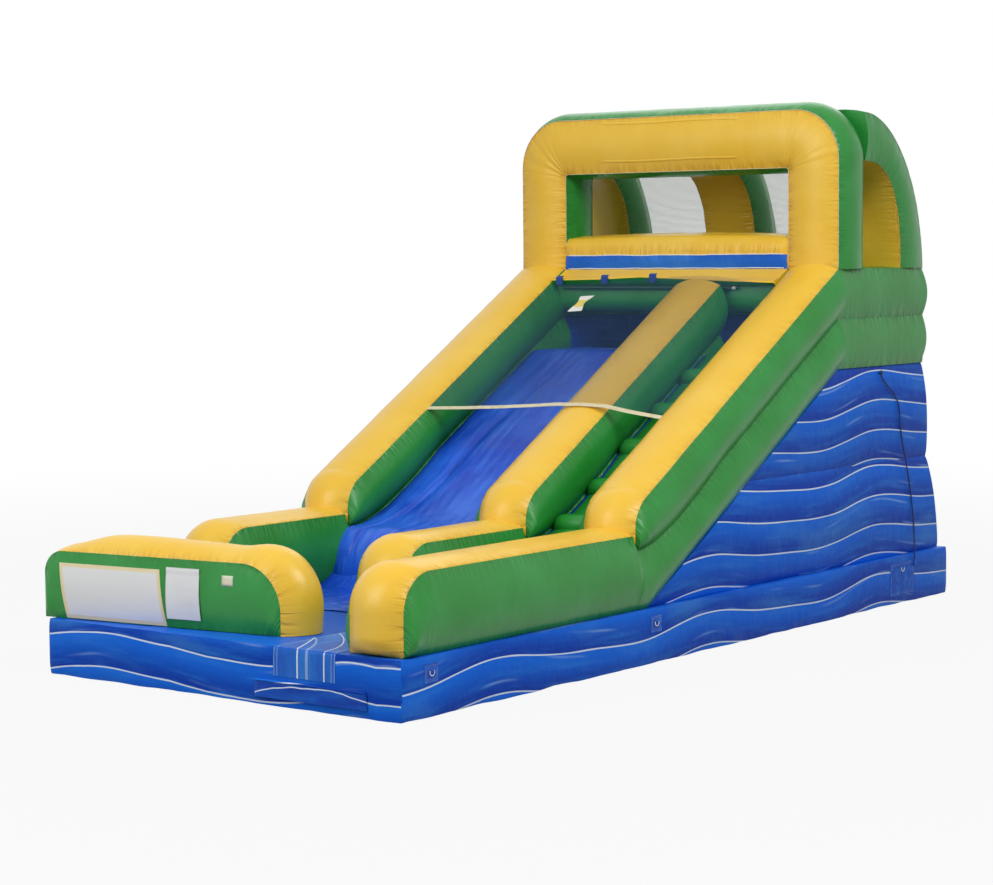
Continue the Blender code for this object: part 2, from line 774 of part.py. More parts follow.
def net_height(x):
    """How far the net stands above the slope of the wall seams as it rides the divider."""
    seam_in = (1 - seam_share) * DIVIDER / 2
    left, right = divider_left + seam_in, divider_right - seam_in
    places = ((-net_reach, 0.0), (left, NET_LIFT), ((left + right) / 2, NET_PEAK),
              (right, NET_LIFT), (net_reach, 0.0))
    for (a, low), (b, high) in zip(places, places[1:]):
        if x <= b:
            return low + (high - low) * (x - a) / (b - a)
    return 0.0


def net_stops():
    seam_in = (1 - seam_share) * DIVIDER / 2
    edges = (-net_reach, divider_left + seam_in, divider_right - seam_in, net_reach)
    stops = []
    for (low, high), count in zip(zip(edges, edges[1:]), net_columns):
        stops += [low + (high - low) * i / count for i in range(count)]
    return stops + [net_reach]


def on_net(x, y, above):
    return Vector((x, y, ramp_z(y) + 2 * MODULE + net_height(x) + NET_REST + above))


def lane_net():
    stops = net_stops()
    low = net_low_y + NET_SHEET * math.sin(slope_angle) + GAP
    high = lip_front - 2 * GAP
    bm = bmesh.new()
    bmesh.ops.create_grid(bm, x_segments=len(stops) - 1, y_segments=NET_ROWS, size=1.0)
    for vert in bm.verts:
        column = round((vert.co.x + 1) / 2 * (len(stops) - 1))
        share = (vert.co.y + 1) / 2
        vert.co = on_net(stops[column], low + (high - low) * share, 0.0)
    bm.normal_update()
    holes = bmesh.ops.inset_individual(bm, faces=bm.faces[:], thickness=NET_CORD / 2)
    centres = [f for f in bm.faces if f not in set(holes["faces"])]
    bmesh.ops.delete(bm, geom=centres, context="FACES")
    item = finish_bmesh("lane_net", bm, NET)
    thicken = item.modifiers.new("cord", "SOLIDIFY")
    thicken.thickness = NET_SHEET
    thicken.offset = 1


def net_strap():
    path = [(x, net_height(x)) for x in net_stops()]
    item = ribbon("net_strap", path, STRAP_SHEET, (0, STRAP_WEB * math.cos(slope_angle)), "XZ",
                  WEBBING)
    start = net_low_y - STRAP_WEB * math.cos(slope_angle)
    for vert in item.data.vertices:
        vert.co.y += start
        vert.co.z += ramp_z(vert.co.y) + 2 * MODULE + NET_REST


# Webbing hem on the sill that holds the net's top edge, with three tabs up the slope
HEM_WEB = 0.03
HEM_SHEET = 0.002
HEM_INSET = 0.012
TAB_WEB = 0.05
TAB_LENGTH = 0.06
TAB_COUNT = 3
TAB_FIRST = -1.183
TAB_PITCH = 0.5415


def net_hem():
    reach = wall_in - COLUMN_CROWN - 2 * GAP
    outline = [(reach, HEM_WEB), (reach, 0), (-reach, 0), (-reach, HEM_WEB)]
    for index in range(TAB_COUNT):
        left = max(TAB_FIRST + TAB_PITCH * index - TAB_WEB / 2, GAP - reach)
        right = left + TAB_WEB
        outline += [(left, HEM_WEB), (left, HEM_WEB + TAB_LENGTH),
                    (right, HEM_WEB + TAB_LENGTH), (right, HEM_WEB)]
    item = prism("net_hem", outline, (GAP, GAP + HEM_SHEET), "XY", BLUE_WEB)
    edge = Vector((lip_front, sill_edge_z))
    run = (Vector((tower_front, band_top)) - edge).normalized()
    place = edge + run * HEM_INSET
    turn = Matrix.Rotation(math.atan2(run.y, run.x), 4, "X")
    item.matrix_world = Matrix.Translation((0, place.x, place.y)) @ turn


# Spray hose in a keder strip under the sill, with its tap coupling on the climbing side
HOSE_RADIUS = 0.014
HOSE_SIDES = 10
KEDER_SHEET = 0.004
KEDER_DROP = 0.006
HOSE_ENDS = (-1.15, 0.78)
HOSE_SETBACK = 0.05
NUT_WALL = 0.004
NUT_CLEARANCE = 0.0008
NUT_LENGTH = 0.036
SHANK_RADIUS = 0.010
SHANK_LENGTH = 0.05
hose_y = lip_front + HOSE_SETBACK
hose_z = SILL_LOW - KEDER_DROP - HOSE_RADIUS


def pipe(name, start, direction, inner, outer, length, sides, finish):
    """A round tube, open at both ends, from a start point along a direction."""
    centre = Vector(start) + Vector(direction) * length / 2
    item = cylinder(name, (0, 0, 0), direction, outer, length, finish, sides)
    item.location = centre
    bore = cylinder(name + "_bore", centre, direction, inner, length + CUT_OVERRUN, finish,
                    sides, CUTTERS)
    cut(item, bore)
    return item


def spray_hose():
    sweep = math.degrees(math.asin(KEDER_SHEET / 2 / HOSE_RADIUS))
    outline = arc((hose_y, hose_z), (HOSE_RADIUS, HOSE_RADIUS), 90 + sweep, 450 - sweep,
                  HOSE_SIDES)
    top = SILL_LOW - GAP
    outline += [(hose_y + KEDER_SHEET / 2, top), (hose_y - KEDER_SHEET / 2, top)]
    item = prism("spray_hose", outline, HOSE_ENDS, "YZ", LINER)
    middle = (HOSE_ENDS[1] + (SHANK_LENGTH - CUT_OVERRUN) / 2, hose_y, hose_z)
    shank = cylinder("hose_shank", middle, (1, 0, 0), SHANK_RADIUS, SHANK_LENGTH + CUT_OVERRUN,
                     PLASTIC, HOSE_SIDES, CUTTERS)
    cut(item, shank, "UNION")
    bore = SHANK_RADIUS + NUT_CLEARANCE
    pipe("hose_swivel_nut", (HOSE_ENDS[1] + 2 * GAP, hose_y, hose_z), (1, 0, 0), bore,
         bore + NUT_WALL, NUT_LENGTH, HOSE_SIDES, PANEL)


# Marble mat sewn over the base's front edge at the way in
MAT_CLEARANCE = 0.188
MAT_INSET = 0.04
MAT_SHEET = 0.002
MAT_DROP = 0.23
MAT_REACH = 0.80
# Deflation zip along the base's front, under a weather flap
ZIP_SPAN = (0.43, 1.50)
ZIP_LOW = 0.06
ZIP_HEIGHT = 0.118
ZIP_SHEET = 0.003
ZIP_RIB = 0.012
ZIP_RIB_STAND = 0.004
ZIP_RIB_RISE = 0.05
WELT_HEIGHT = 0.017
WELT_STAND = 0.018
FLAP_SHEET = 0.002
FLAP_END = 0.002
SLIDER_LENGTH = 0.034
SLIDER_HEIGHT = 0.020
SLIDER_STAND = 0.006
PULL_WIDTH = 0.012
PULL_SHEET = 0.0024
PULL_HEIGHT = 0.045
SLIDER_INSET = 0.03


def entry_mat():
    edge = base_top - BASE_SEAM
    path = [(front, base_top - MAT_DROP), (front, edge), (front + BASE_TUCK, base_top),
            (front + MAT_REACH, base_top)]
    span = (bumper_right + MAT_CLEARANCE, wall_in - MAT_INSET)
    ribbon("entry_mat", offset_path(path, GAP), MAT_SHEET, span, "YZ", MARBLE)


def front_zip():
    face = front - GAP
    rib_low = ZIP_LOW + ZIP_RIB_RISE
    welt = ZIP_LOW + ZIP_HEIGHT
    tape = face - ZIP_SHEET
    rib = tape - ZIP_RIB_STAND
    flap_face = face - WELT_STAND
    outline = [(face, ZIP_LOW), (face, welt + WELT_HEIGHT), (flap_face, welt + WELT_HEIGHT),
               (flap_face, welt), (tape, welt), (tape, rib_low + ZIP_RIB),
               (rib, rib_low + ZIP_RIB), (rib, rib_low), (tape, rib_low), (tape, ZIP_LOW)]
    prism("zip_tape", outline, ZIP_SPAN, "YZ", PLASTIC)
    flap = box("zip_flap", (ZIP_SPAN[0], flap_face, ZIP_LOW + FLAP_END),
               (ZIP_SPAN[1], flap_face + FLAP_SHEET, welt - GAP), MARBLE)
    pivot(flap, (ZIP_SPAN[0], flap_face, welt - GAP))
    left = ZIP_SPAN[0] + SLIDER_INSET
    middle = left + SLIDER_LENGTH / 2
    centre_z = rib_low + ZIP_RIB / 2
    near = rib - GAP
    far = near - SLIDER_STAND
    item = box("zip_slider", (left, far, centre_z - SLIDER_HEIGHT / 2),
               (left + SLIDER_LENGTH, near, centre_z + SLIDER_HEIGHT / 2), STEEL)
    pull = box("zip_pull", (middle - PULL_WIDTH / 2, far - PULL_SHEET / 2, centre_z - PULL_HEIGHT),
               (middle + PULL_WIDTH / 2, far + PULL_SHEET / 2, centre_z), STEEL, CUTTERS)
    cut(item, pull, "UNION")
    pivot(item, (middle, near, centre_z))


# Blank sign panels on the bumper, and the tag on the net
SIGN_SHEET = 0.002
SIGN_SPAN = (0.09, 1.07)
SIGN_HEIGHTS = (0.47, 0.89)
FLAP_SIGN_SPAN = (1.13, 1.45)
FLAP_SIGN_HEIGHTS = (0.52, 0.92)
TAG_LEFT = -0.74
TAG_DROP = 0.24
TAG_WIDTH = 0.16
TAG_LENGTH = 0.24
TAG_SHEET = 0.002


def signs():
    face = -GAP
    for name, span, heights in (("sign_panel", SIGN_SPAN, SIGN_HEIGHTS),
                                ("sign_flap", FLAP_SIGN_SPAN, FLAP_SIGN_HEIGHTS)):
        item = box(name, (span[0], face - SIGN_SHEET, heights[0]), (span[1], face, heights[1]),
                   PANEL)
        corner = Vector((span[0], face, heights[1]))
        item.data.transform(Matrix.Translation(-corner))
        item.matrix_world = bumper_seat @ Matrix.Translation(corner)


def hang_tag():
    x, y = TAG_LEFT, lip_front - TAG_DROP
    item = box("hang_tag", (0, -TAG_LENGTH, 0), (TAG_WIDTH, 0, TAG_SHEET), PANEL)
    slant = (net_height(x + TAG_WIDTH) - net_height(x)) / TAG_WIDTH
    normal = Vector((-slant, -RAKE, 1)).normalized()
    up = Vector((0, math.cos(slope_angle), math.sin(slope_angle)))
    turn = Matrix((up.cross(normal), up, normal)).transposed().to_4x4()
    place = on_net(x, y, 0.0) + normal * (NET_SHEET + 2 * GAP)
    item.matrix_world = Matrix.Translation(place) @ turn


# Anchor points: a webbing patch on the base with a steel ring in its folded eye
PATCH_SHEET = 0.003
PATCH_TOP = 0.39
PATCH_HEIGHT = 0.14
PATCH_WEB = 0.16
REAR_PATCH_HEIGHT = 0.31
REAR_PATCH_WEB = 0.46
EYE_WEB = 0.036
EYE_WALL = 0.0025
EYE_SINK = 0.0005
EYE_DROP = 0.05
RING_BAR = 0.004
RING_CLEARANCE = 0.0005
RING_HALF = 0.026
RING_DROP = 0.012
RING_STEPS = 10
RING_SIDES_RES = 2
anchor_places = (("front", -3.80), ("middle", -0.92), ("rear", 3.22))
eye_hole = RING_BAR + RING_CLEARANCE
eye_outer = eye_hole + EYE_WALL
eye_x = WIDTH / 2 + GAP + PATCH_SHEET + eye_outer - EYE_SINK
eye_z = PATCH_TOP - EYE_DROP
# Pocket on the rear right patch that holds the tether's end
POCKET_WEB = 0.036
POCKET_STAND = 0.024
POCKET_HEIGHT = 0.05
POCKET_SHIFT = 0.22


def anchor_patch(name, sign, y, web, height, pocket):
    near, far = WIDTH / 2 + GAP, WIDTH / 2 + GAP + PATCH_SHEET
    xs = sorted((sign * near, sign * far))
    item = box(name, (xs[0], y - web / 2, PATCH_TOP - height), (xs[1], y + web / 2, PATCH_TOP),
               WEBBING)
    eye = cylinder(name + "_eye", (sign * eye_x, y, eye_z), (0, 1, 0), eye_outer, EYE_WEB,
                   WEBBING, 2 * PORT_SIDES, CUTTERS)
    cut(item, eye, "UNION")
    if pocket:
        lump_xs = sorted((sign * (far - EYE_SINK), sign * (far + POCKET_STAND)))
        start = y + POCKET_SHIFT - POCKET_WEB / 2
        lump = box(name + "_pocket", (lump_xs[0], start, PATCH_TOP - POCKET_HEIGHT),
                   (lump_xs[1], start + POCKET_WEB, PATCH_TOP), WEBBING, CUTTERS)
        cut(item, lump, "UNION")
    hole = cylinder(name + "_hole", (sign * eye_x, y, eye_z), (0, 1, 0), eye_hole,
                    EYE_WEB + CUT_OVERRUN, WEBBING, 2 * PORT_SIDES, CUTTERS)
    cut(item, hole)


def anchor_ring(name, sign, y):
    line = bpy.data.curves.new(name, "CURVE")
    line.dimensions = "3D"
    line.bevel_depth = RING_BAR
    line.bevel_resolution = RING_SIDES_RES
    spline = line.splines.new("POLY")
    bow = arc((0, -RING_DROP), (RING_HALF, RING_HALF), 180, 360, RING_STEPS)
    places = [(-RING_HALF, 0)] + bow + [(RING_HALF, 0), (0, 0)]
    spline.points.add(len(places) - 1)
    for point, (along, up) in zip(spline.points, places):
        point.co = (0, along, up, 1)
    spline.use_cyclic_u = True
    line.materials.append(STEEL)
    item = bpy.data.objects.new(name, line)
    item.location = (sign * eye_x, y, eye_z)
    SLIDE.objects.link(item)


def anchors():
    for side, sign in (("left", -1), ("right", 1)):
        for place, y in anchor_places:
            large = place == "rear"
            web = REAR_PATCH_WEB if large else PATCH_WEB
            height = REAR_PATCH_HEIGHT if large else PATCH_HEIGHT
            anchor_patch(f"{side}_{place}_anchor", sign, y, web, height, large and sign > 0)
            anchor_ring(f"{side}_{place}_ring", sign, y)


# Filling sleeve at the back, with a strap to close it on the fan's spout
SLEEVE_BORE = 0.12
INLET_RIM = 0.02
SLEEVE_LENGTH = 0.45
SLEEVE_SIDES = 16
SLEEVE_PLACE = (-1.0, 0.22)
STRAP_AT = 0.30
TIE_WEB = 0.03


def filling_sleeve():
    x, z = SLEEVE_PLACE
    outer = SLEEVE_BORE + SKIN
    pipe("filling_sleeve", (x, rear + GAP, z), (0, 1, 0), SLEEVE_BORE, outer, SLEEVE_LENGTH,
         SLEEVE_SIDES, MARBLE)
    inlet = cylinder("base_inlet", (x, rear, z), (0, 1, 0), SLEEVE_BORE - INLET_RIM,
                     2 * CUT_OVERRUN, MARBLE, SLEEVE_SIDES, CUTTERS)
    cut(bpy.data.objects["base_platform"], inlet)
    pipe("sleeve_tie", (x, rear + STRAP_AT, z), (0, 1, 0), outer + 2 * GAP,
         outer + STRAP_SHEET, TIE_WEB, SLEEVE_SIDES, BLUE_WEB)


# Tether rope down the right side, knotted at the top and sewn into the rear patch
ROPE_RADIUS = 0.007
ROPE_POINTS_APART = 0.036
KNOT_RADIUS = 0.021
knot_flat_share = 0.955
rope_end = (WIDTH / 2 + GAP + PATCH_SHEET + POCKET_STAND / 2,
            anchor_places[2][1] + POCKET_SHIFT, PATCH_TOP + GAP)
rope_route = ((1.7985, 2.864, 2.168), (1.803, 2.880, 2.130), (1.811, 2.960, 2.060),
              (1.814, 3.090, 1.970), (1.814, 3.175, 1.860), (1.813, 3.205, 1.690),
              (1.812, 3.250, 1.520), (1.812, 3.305, 1.375), (1.812, 3.360, 1.215),
              (1.813, 3.413, 1.040), (1.815, 3.450, 0.860), (1.818, 3.470, 0.700),
              (1.827, 3.466, 0.560), (1.842, 3.444, 0.450))


def smooth_route(points, apart):
    """Even points along a smooth curve through a route's own points."""
    places = [Vector(p) for p in points]
    padded = [2 * places[0] - places[1]] + places + [2 * places[-1] - places[-2]]
    fine = []
    for a, b, c, d in zip(padded, padded[1:], padded[2:], padded[3:]):
        count = max(2, math.ceil((c - b).length / apart))
        for i in range(count):
            t = i / count
            fine.append((2 * b + (c - a) * t + (2 * a - 5 * b + 4 * c - d) * t * t
                         + (3 * b - a - 3 * c + d) * t ** 3) / 2)
    return fine + [places[-1]]


def tether():
    line = bpy.data.curves.new("tether_rope", "CURVE")
    line.dimensions = "3D"
    line.bevel_depth = ROPE_RADIUS
    line.bevel_resolution = 2
    line.use_fill_caps = True
    spline = line.splines.new("POLY")
    route = smooth_route(rope_route + (rope_end,), ROPE_POINTS_APART)
    spline.points.add(len(route) - 1)
    for point, place in zip(spline.points, route):
        point.co = (*place, 1)
    line.materials.append(ROPE)
    SLIDE.objects.link(bpy.data.objects.new("tether_rope", line))
    length = sum((b - a).length for a, b in zip(route, route[1:]))
    print(f"tether rope length {length:.3f} m")
    bm = bmesh.new()
    bmesh.ops.create_icosphere(bm, subdivisions=2, radius=KNOT_RADIUS)
    knot = finish_bmesh("tether_knot", bm, ROPE)
    back = (route[0] - route[1]).normalized()
    knot.location = route[0] + back * (KNOT_RADIUS * knot_flat_share + GAP)


def main_chambers():
    base_platform()
    storey("lower_storey", base_top + GAP, storey_top, rear - FOOT_SETBACK - BELLY / 2,
           rear - STOREY_SETBACK - BELLY / 2)
    storey("upper_storey", storey_top + GAP, deck, rear - STOREY_SETBACK - BELLY / 2,
           rear - BAND_SETBACK - BELLY / 2)
    left = (-wall_out, -wall_in)
    right = (wall_in, wall_out)
    divider = (divider_left, divider_right)
    back = tower_front - GAP
    lower_tube("left_lower_tube", left, front + LANE_WALL_START, back)
    lower_tube("divider_lower_tube", divider, front + LANE_WALL_START, lip_front)
    lower_tube("right_lower_tube", right, front + RIGHT_WALL_START, back)
    upper_tube("left_upper_tube", left, back)
    upper_tube("divider_upper_tube", divider, lip_front - GAP)
    upper_tube("right_upper_tube", right, back)
    slide_span = (-wall_in + BED_CLEARANCE, divider_left - BED_CLEARANCE)
    climb_span = (divider_right + BED_CLEARANCE, wall_in - BED_CLEARANCE)
    bed("slide_bed", slide_span, SLIDE_CHANNELS, LINER)
    bed("climb_bed", climb_span, CLIMB_CHANNELS, GREEN)
    slide_liner(slide_span)
    stop_bumper()
    tower_band("lower_band", deck + GAP, band_middle - GAP)
    tower_band("upper_band", band_middle + GAP, band_top - GAP)
    platform_floor()
    front_arch()
    window_sill()
    centre = MIDDLE_ARCH_SHIFT
    middle = (centre - MIDDLE_ARCH_WIDTH / 2, centre + MIDDLE_ARCH_WIDTH / 2)
    side_arch("left_side_arch", left, GREEN)
    side_arch("middle_arch", middle, YELLOW)
    side_arch("right_side_arch", right, GREEN)
    rear_mesh("left_rear_mesh", (left[1], middle[0]))
    rear_mesh("right_rear_mesh", (middle[1], right[0]))
    for index in range(STEP_COUNT):
        climb_step(index, climb_span)
    for index in range(HANDLE_COUNT):
        climb_handle(index, climb_span)


def fittings():
    lane_net()
    net_strap()
    net_hem()
    spray_hose()
    entry_mat()
    front_zip()
    signs()
    hang_tag()
    anchors()
    filling_sleeve()
    tether()


main_chambers()
fittings()
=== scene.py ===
"""Looks of the inflatable water slide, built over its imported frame, in metres."""

import json
import math

import bmesh
import bpy
from mathutils import Matrix, Vector, noise
from mathutils.bvhtree import BVHTree

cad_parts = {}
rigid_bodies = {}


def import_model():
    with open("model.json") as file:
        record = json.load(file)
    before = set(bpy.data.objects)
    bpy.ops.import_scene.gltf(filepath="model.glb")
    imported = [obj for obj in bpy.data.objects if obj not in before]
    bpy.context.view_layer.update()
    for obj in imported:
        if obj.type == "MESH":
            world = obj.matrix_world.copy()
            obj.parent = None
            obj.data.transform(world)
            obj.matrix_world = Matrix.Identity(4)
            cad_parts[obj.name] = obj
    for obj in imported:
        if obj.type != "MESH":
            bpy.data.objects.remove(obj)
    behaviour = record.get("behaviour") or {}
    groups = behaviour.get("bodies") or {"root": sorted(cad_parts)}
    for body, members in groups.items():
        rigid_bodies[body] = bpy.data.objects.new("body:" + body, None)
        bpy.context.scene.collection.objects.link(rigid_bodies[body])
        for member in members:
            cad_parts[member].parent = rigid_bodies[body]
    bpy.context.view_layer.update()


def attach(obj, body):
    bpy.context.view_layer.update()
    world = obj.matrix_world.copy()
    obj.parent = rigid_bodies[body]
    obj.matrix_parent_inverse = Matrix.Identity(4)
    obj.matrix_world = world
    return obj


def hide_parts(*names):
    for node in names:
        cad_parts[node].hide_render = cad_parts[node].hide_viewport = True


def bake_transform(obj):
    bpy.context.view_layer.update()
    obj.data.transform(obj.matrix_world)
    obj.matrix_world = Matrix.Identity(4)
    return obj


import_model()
scene = bpy.context.scene

# Camera: to the right of the slide's front and as high as the top of its walls, a long
# way off and looking slightly down.
CAMERA_PLACE = (12.849, -17.291, 3.302)
CAMERA_TURN = tuple(math.radians(angle) for angle in (37.657, 4.368, 0.465))
CAMERA_LENS = 89.086

round_by, down_by, lean_by = CAMERA_TURN
level = Vector((math.cos(round_by), math.sin(round_by), 0))
away = Vector((-math.sin(round_by), math.cos(round_by), 0))
ahead = away * math.cos(down_by) - Vector((0, 0, math.sin(down_by)))
above = away * math.sin(down_by) + Vector((0, 0, math.cos(down_by)))
right_way = level * math.cos(lean_by) - above * math.sin(lean_by)
up_way = level * math.sin(lean_by) + above * math.cos(lean_by)
camera = bpy.data.objects.new("camera", bpy.data.cameras.new("camera"))
scene.collection.objects.link(camera)
camera.data.sensor_width = 36.0
camera.data.lens = CAMERA_LENS
camera.data.clip_end = 200.0
camera.matrix_world = (Matrix.Translation(CAMERA_PLACE)
                       @ Matrix((right_way, up_way, -ahead)).transposed().to_4x4())
scene.camera = camera


class Wire:
    """One value between a material's nodes. Sums on it add the nodes that work them out."""

    def __init__(self, look, socket):
        self.look, self.socket = look, socket

    def math(self, operation, *values):
        sockets = dict(enumerate((self, *values)))
        return self.look.add("ShaderNodeMath", {"operation": operation}, sockets)

    def __add__(self, other):
        return self.math("ADD", other)

    def __radd__(self, other):
        return self + other

    def __sub__(self, other):
        return self.math("SUBTRACT", other)

    def __rsub__(self, other):
        return self * -1.0 + other

    def __mul__(self, other):
        return self.math("MULTIPLY", other)

    def __rmul__(self, other):
        return self * other

    def __truediv__(self, other):
        return self.math("DIVIDE", other)

    def step(self, low, high):
        """0 below one level, 1 above the other, and smooth in between."""
        settings = {"interpolation_type": "SMOOTHSTEP"}
        sockets = {"Value": self, "From Min": low, "From Max": high}
        return self.look.add("ShaderNodeMapRange", settings, sockets)


class Look:
    """A material and its nodes."""

    def __init__(self, name, **finish):
        self.material = bpy.data.materials.new(name)
        self.material.use_nodes = True
        self.tree = self.material.node_tree
        self.shader = self.tree.nodes["Principled BSDF"]
        self.dress(**finish)

    def add(self, kind, settings=None, sockets=None, out=0):
        """Make a node, set it up, then fill its sockets with values or links."""
        node = self.tree.nodes.new(kind)
        for key, value in (settings or {}).items():
            setattr(node, key, value)
        for key, value in (sockets or {}).items():
            self.fill(node.inputs[key], value)
        return Wire(self, node.outputs[out])

    def fill(self, socket, value):
        if isinstance(value, Wire):
            self.tree.links.new(value.socket, socket)
        else:
            socket.default_value = value

    def dress(self, **finish):
        """Fill the shader's own sockets, such as base_color or coat_weight."""
        for key, value in finish.items():
            name = key.replace("_", " ").title().replace("Ior", "IOR")
            self.fill(self.shader.inputs[name], value)

    def mix(self, share, first, second):
        sockets = {0: share, 6: first, 7: second}
        return self.add("ShaderNodeMix", {"data_type": "RGBA"}, sockets, 2)

    def place(self):
        return self.add("ShaderNodeTexCoord", out="Object")

    def cloth(self):
        """Metres along and across the cloth that a piece is cut from."""
        return self.add("ShaderNodeUVMap", {"uv_map": "cloth"})

    def drawn(self, name):
        """A value that the mesh carries at each point."""
        return self.add("ShaderNodeAttribute", {"attribute_name": name}, out="Fac")

    def axes(self, vector):
        split = self.add("ShaderNodeSeparateXYZ", sockets={0: vector}).socket.node
        return [Wire(self, socket) for socket in split.outputs]

    def spot(self, x, y, z=0.0):
        return self.add("ShaderNodeCombineXYZ", sockets={0: x, 1: y, 2: z})

    def speckle(self, vector, scale, detail=2.0, roughness=0.5):
        sockets = {"Vector": vector, "Scale": scale, "Detail": detail, "Roughness": roughness}
        return self.add("ShaderNodeTexNoise", sockets=sockets)

    def relief(self, height, depth, strength=1.0):
        sockets = {"Height": height, "Distance": depth, "Strength": strength}
        self.dress(normal=self.add("ShaderNodeBump", sockets=sockets))


def colour(red, green, blue):
    return (red, green, blue, 1.0)


# Tether rope: a laid dark blue polypropylene rope that hangs down the right side from a
# stopper knot under the green band and ends in the pocket of the rear anchor patch.
ROPE_RADIUS = 0.007
ROPE_POINTS_APART = 0.036
KNOT_RADIUS = 0.021
ROPE_END = (1.8453, 3.44, 0.3903)
rope_route = ((1.7985, 2.864, 2.168), (1.803, 2.880, 2.130), (1.811, 2.960, 2.060),
              (1.814, 3.090, 1.970), (1.814, 3.175, 1.860), (1.813, 3.205, 1.690),
              (1.812, 3.250, 1.520), (1.812, 3.305, 1.375), (1.812, 3.360, 1.215),
              (1.813, 3.413, 1.040), (1.815, 3.450, 0.860), (1.818, 3.470, 0.700),
              (1.827, 3.466, 0.560), (1.842, 3.444, 0.450), ROPE_END)


def smooth_route(points, apart):
    """Even points along a smooth curve through a route's own points."""
    places = [Vector(p) for p in points]
    padded = [2 * places[0] - places[1]] + places + [2 * places[-1] - places[-2]]
    fine = []
    for a, b, c, d in zip(padded, padded[1:], padded[2:], padded[3:]):
        count = max(2, math.ceil((c - b).length / apart))
        for i in range(count):
            t = i / count
            fine.append((2 * b + (c - a) * t + (2 * a - 5 * b + 4 * c - d) * t * t
                         + (3 * b - a - 3 * c + d) * t ** 3) / 2)
    return fine + [places[-1]]


def rope_look():
    look = Look("blue_rope", roughness=0.75)
    x, y, z = look.axes(look.place())
    lay = ((x + y) * 300.0 + z * 520.0).math("SINE") * 0.5 + 0.5
    fluff = look.speckle(look.place(), 900.0)
    # Painted shade: the colour darkens in the grooves between the strands of the lay.
    shade = look.mix(lay, colour(0.004, 0.012, 0.06), colour(0.015, 0.045, 0.2))
    look.dress(base_color=look.mix(fluff * 0.4, shade, colour(0.04, 0.08, 0.26)))
    look.relief(lay + fluff * 0.3, 0.0015)
    return look.material


ROPE = rope_look()
rope_places = smooth_route(rope_route, ROPE_POINTS_APART)
rope_line = bpy.data.curves.new("tether", "CURVE")
rope_line.dimensions = "3D"
rope_line.bevel_depth = ROPE_RADIUS
rope_line.bevel_resolution = 3
rope_line.use_fill_caps = True
spline = rope_line.splines.new("POLY")
spline.points.add(len(rope_places) - 1)
for point, spot in zip(spline.points, rope_places):
    point.co = (*spot, 1.0)
rope_line.materials.append(ROPE)
tether = bpy.data.objects.new("tether", rope_line)
scene.collection.objects.link(tether)
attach(tether, "slide_body")
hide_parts("tether_rope")


def add_piece(name, bm, materials, body="slide_body", smooth_angle=None):
    """Turn a finished bmesh into a piece that rides on a body."""
    mesh = bpy.data.meshes.new(name)
    bm.to_mesh(mesh)
    bm.free()
    mesh.shade_smooth()
    if smooth_angle:
        mesh.set_sharp_from_angle(angle=math.radians(smooth_angle))
    for finish in materials:
        mesh.materials.append(finish)
    item = bpy.data.objects.new(name, mesh)
    scene.collection.objects.link(item)
    if body:
        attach(item, body)
    return item


def stopper_knot():
    """A round body with three turns of rope wound over it."""
    back = (rope_places[0] - rope_places[1]).normalized()
    centre = rope_places[0] + back * KNOT_RADIUS * 0.955
    bm = bmesh.new()
    bmesh.ops.create_uvsphere(bm, u_segments=24, v_segments=16, radius=KNOT_RADIUS)
    for vert in bm.verts:
        turn = math.atan2(vert.co.y, vert.co.x)
        wind = math.cos(3.0 * turn + vert.co.z / KNOT_RADIUS * 7.0)
        vert.co *= 0.95 + 0.05 * wind
    bmesh.ops.translate(bm, vec=centre, verts=bm.verts)
    return add_piece("stopper_knot", bm, [ROPE])


knot = stopper_knot()
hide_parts("tether_knot")


# Base chamber: a low blue mattress of printed vinyl under the whole slide. Its sides bulge
# between a bottom seam on the ground and a top seam, and the lower edge is a little wavy.
WIDTH = 3.66
LENGTH = 8.26
BASE_TOP = 0.45
BASE_TUCK = 0.008
BASE_CORNER = 0.02
CUT_APART = 0.08
FRONT_RISE = ((-1.45, -0.98, -0.465, -0.075, 0.62, 1.30, 1.59, 1.86),
              (0.0, 0.03, 0.055, 0.03, 0.04, 0.03, 0.0, 0.03))
front = -LENGTH / 2
rear = LENGTH / 2


def cut_up(bm, ways):
    """Cut a mesh by planes across each way, so that it can bulge and crease."""
    for direction, low, high, apart in ways:
        count = max(1, math.ceil((high - low) / apart))
        for i in range(1, count):
            at = low + (high - low) * i / count
            bmesh.ops.bisect_plane(bm, geom=bm.verts[:] + bm.edges[:] + bm.faces[:],
                                   plane_co=Vector(direction) * at, plane_no=direction)


def between(x, xs, values):
    """The value at x on a line through given points."""
    for a, b, low, high in zip(xs, xs[1:], values, values[1:]):
        if x <= b:
            return low + (high - low) * max(0.0, x - a) / (b - a)
    return values[-1]


def lay_print(bm, panel_shift=0.0):
    """Lay the printed cloth flat on each panel, with its waves level along the sides."""
    cloth = bm.loops.layers.uv.new("cloth")
    bm.normal_update()
    for face in bm.faces:
        way = face.normal
        for loop in face.loops:
            x, y, z = loop.vert.co
            if abs(way.z) > 0.75:
                loop[cloth].uv = ((y + 0.6) * 0.3 + x * 0.2, x * 0.02 + 0.116)
            elif abs(way.x) > abs(way.y):
                loop[cloth].uv = (y, z + panel_shift)
            else:
                loop[cloth].uv = (x + 1.21, z + panel_shift - 0.058 - between(x, *FRONT_RISE))


def soft_noise(spot, scale, seed=0.0):
    """Smooth noise from about -1 to 1."""
    return noise.noise(Vector(spot) / scale + Vector((seed, seed * 0.7, seed * 1.3)))


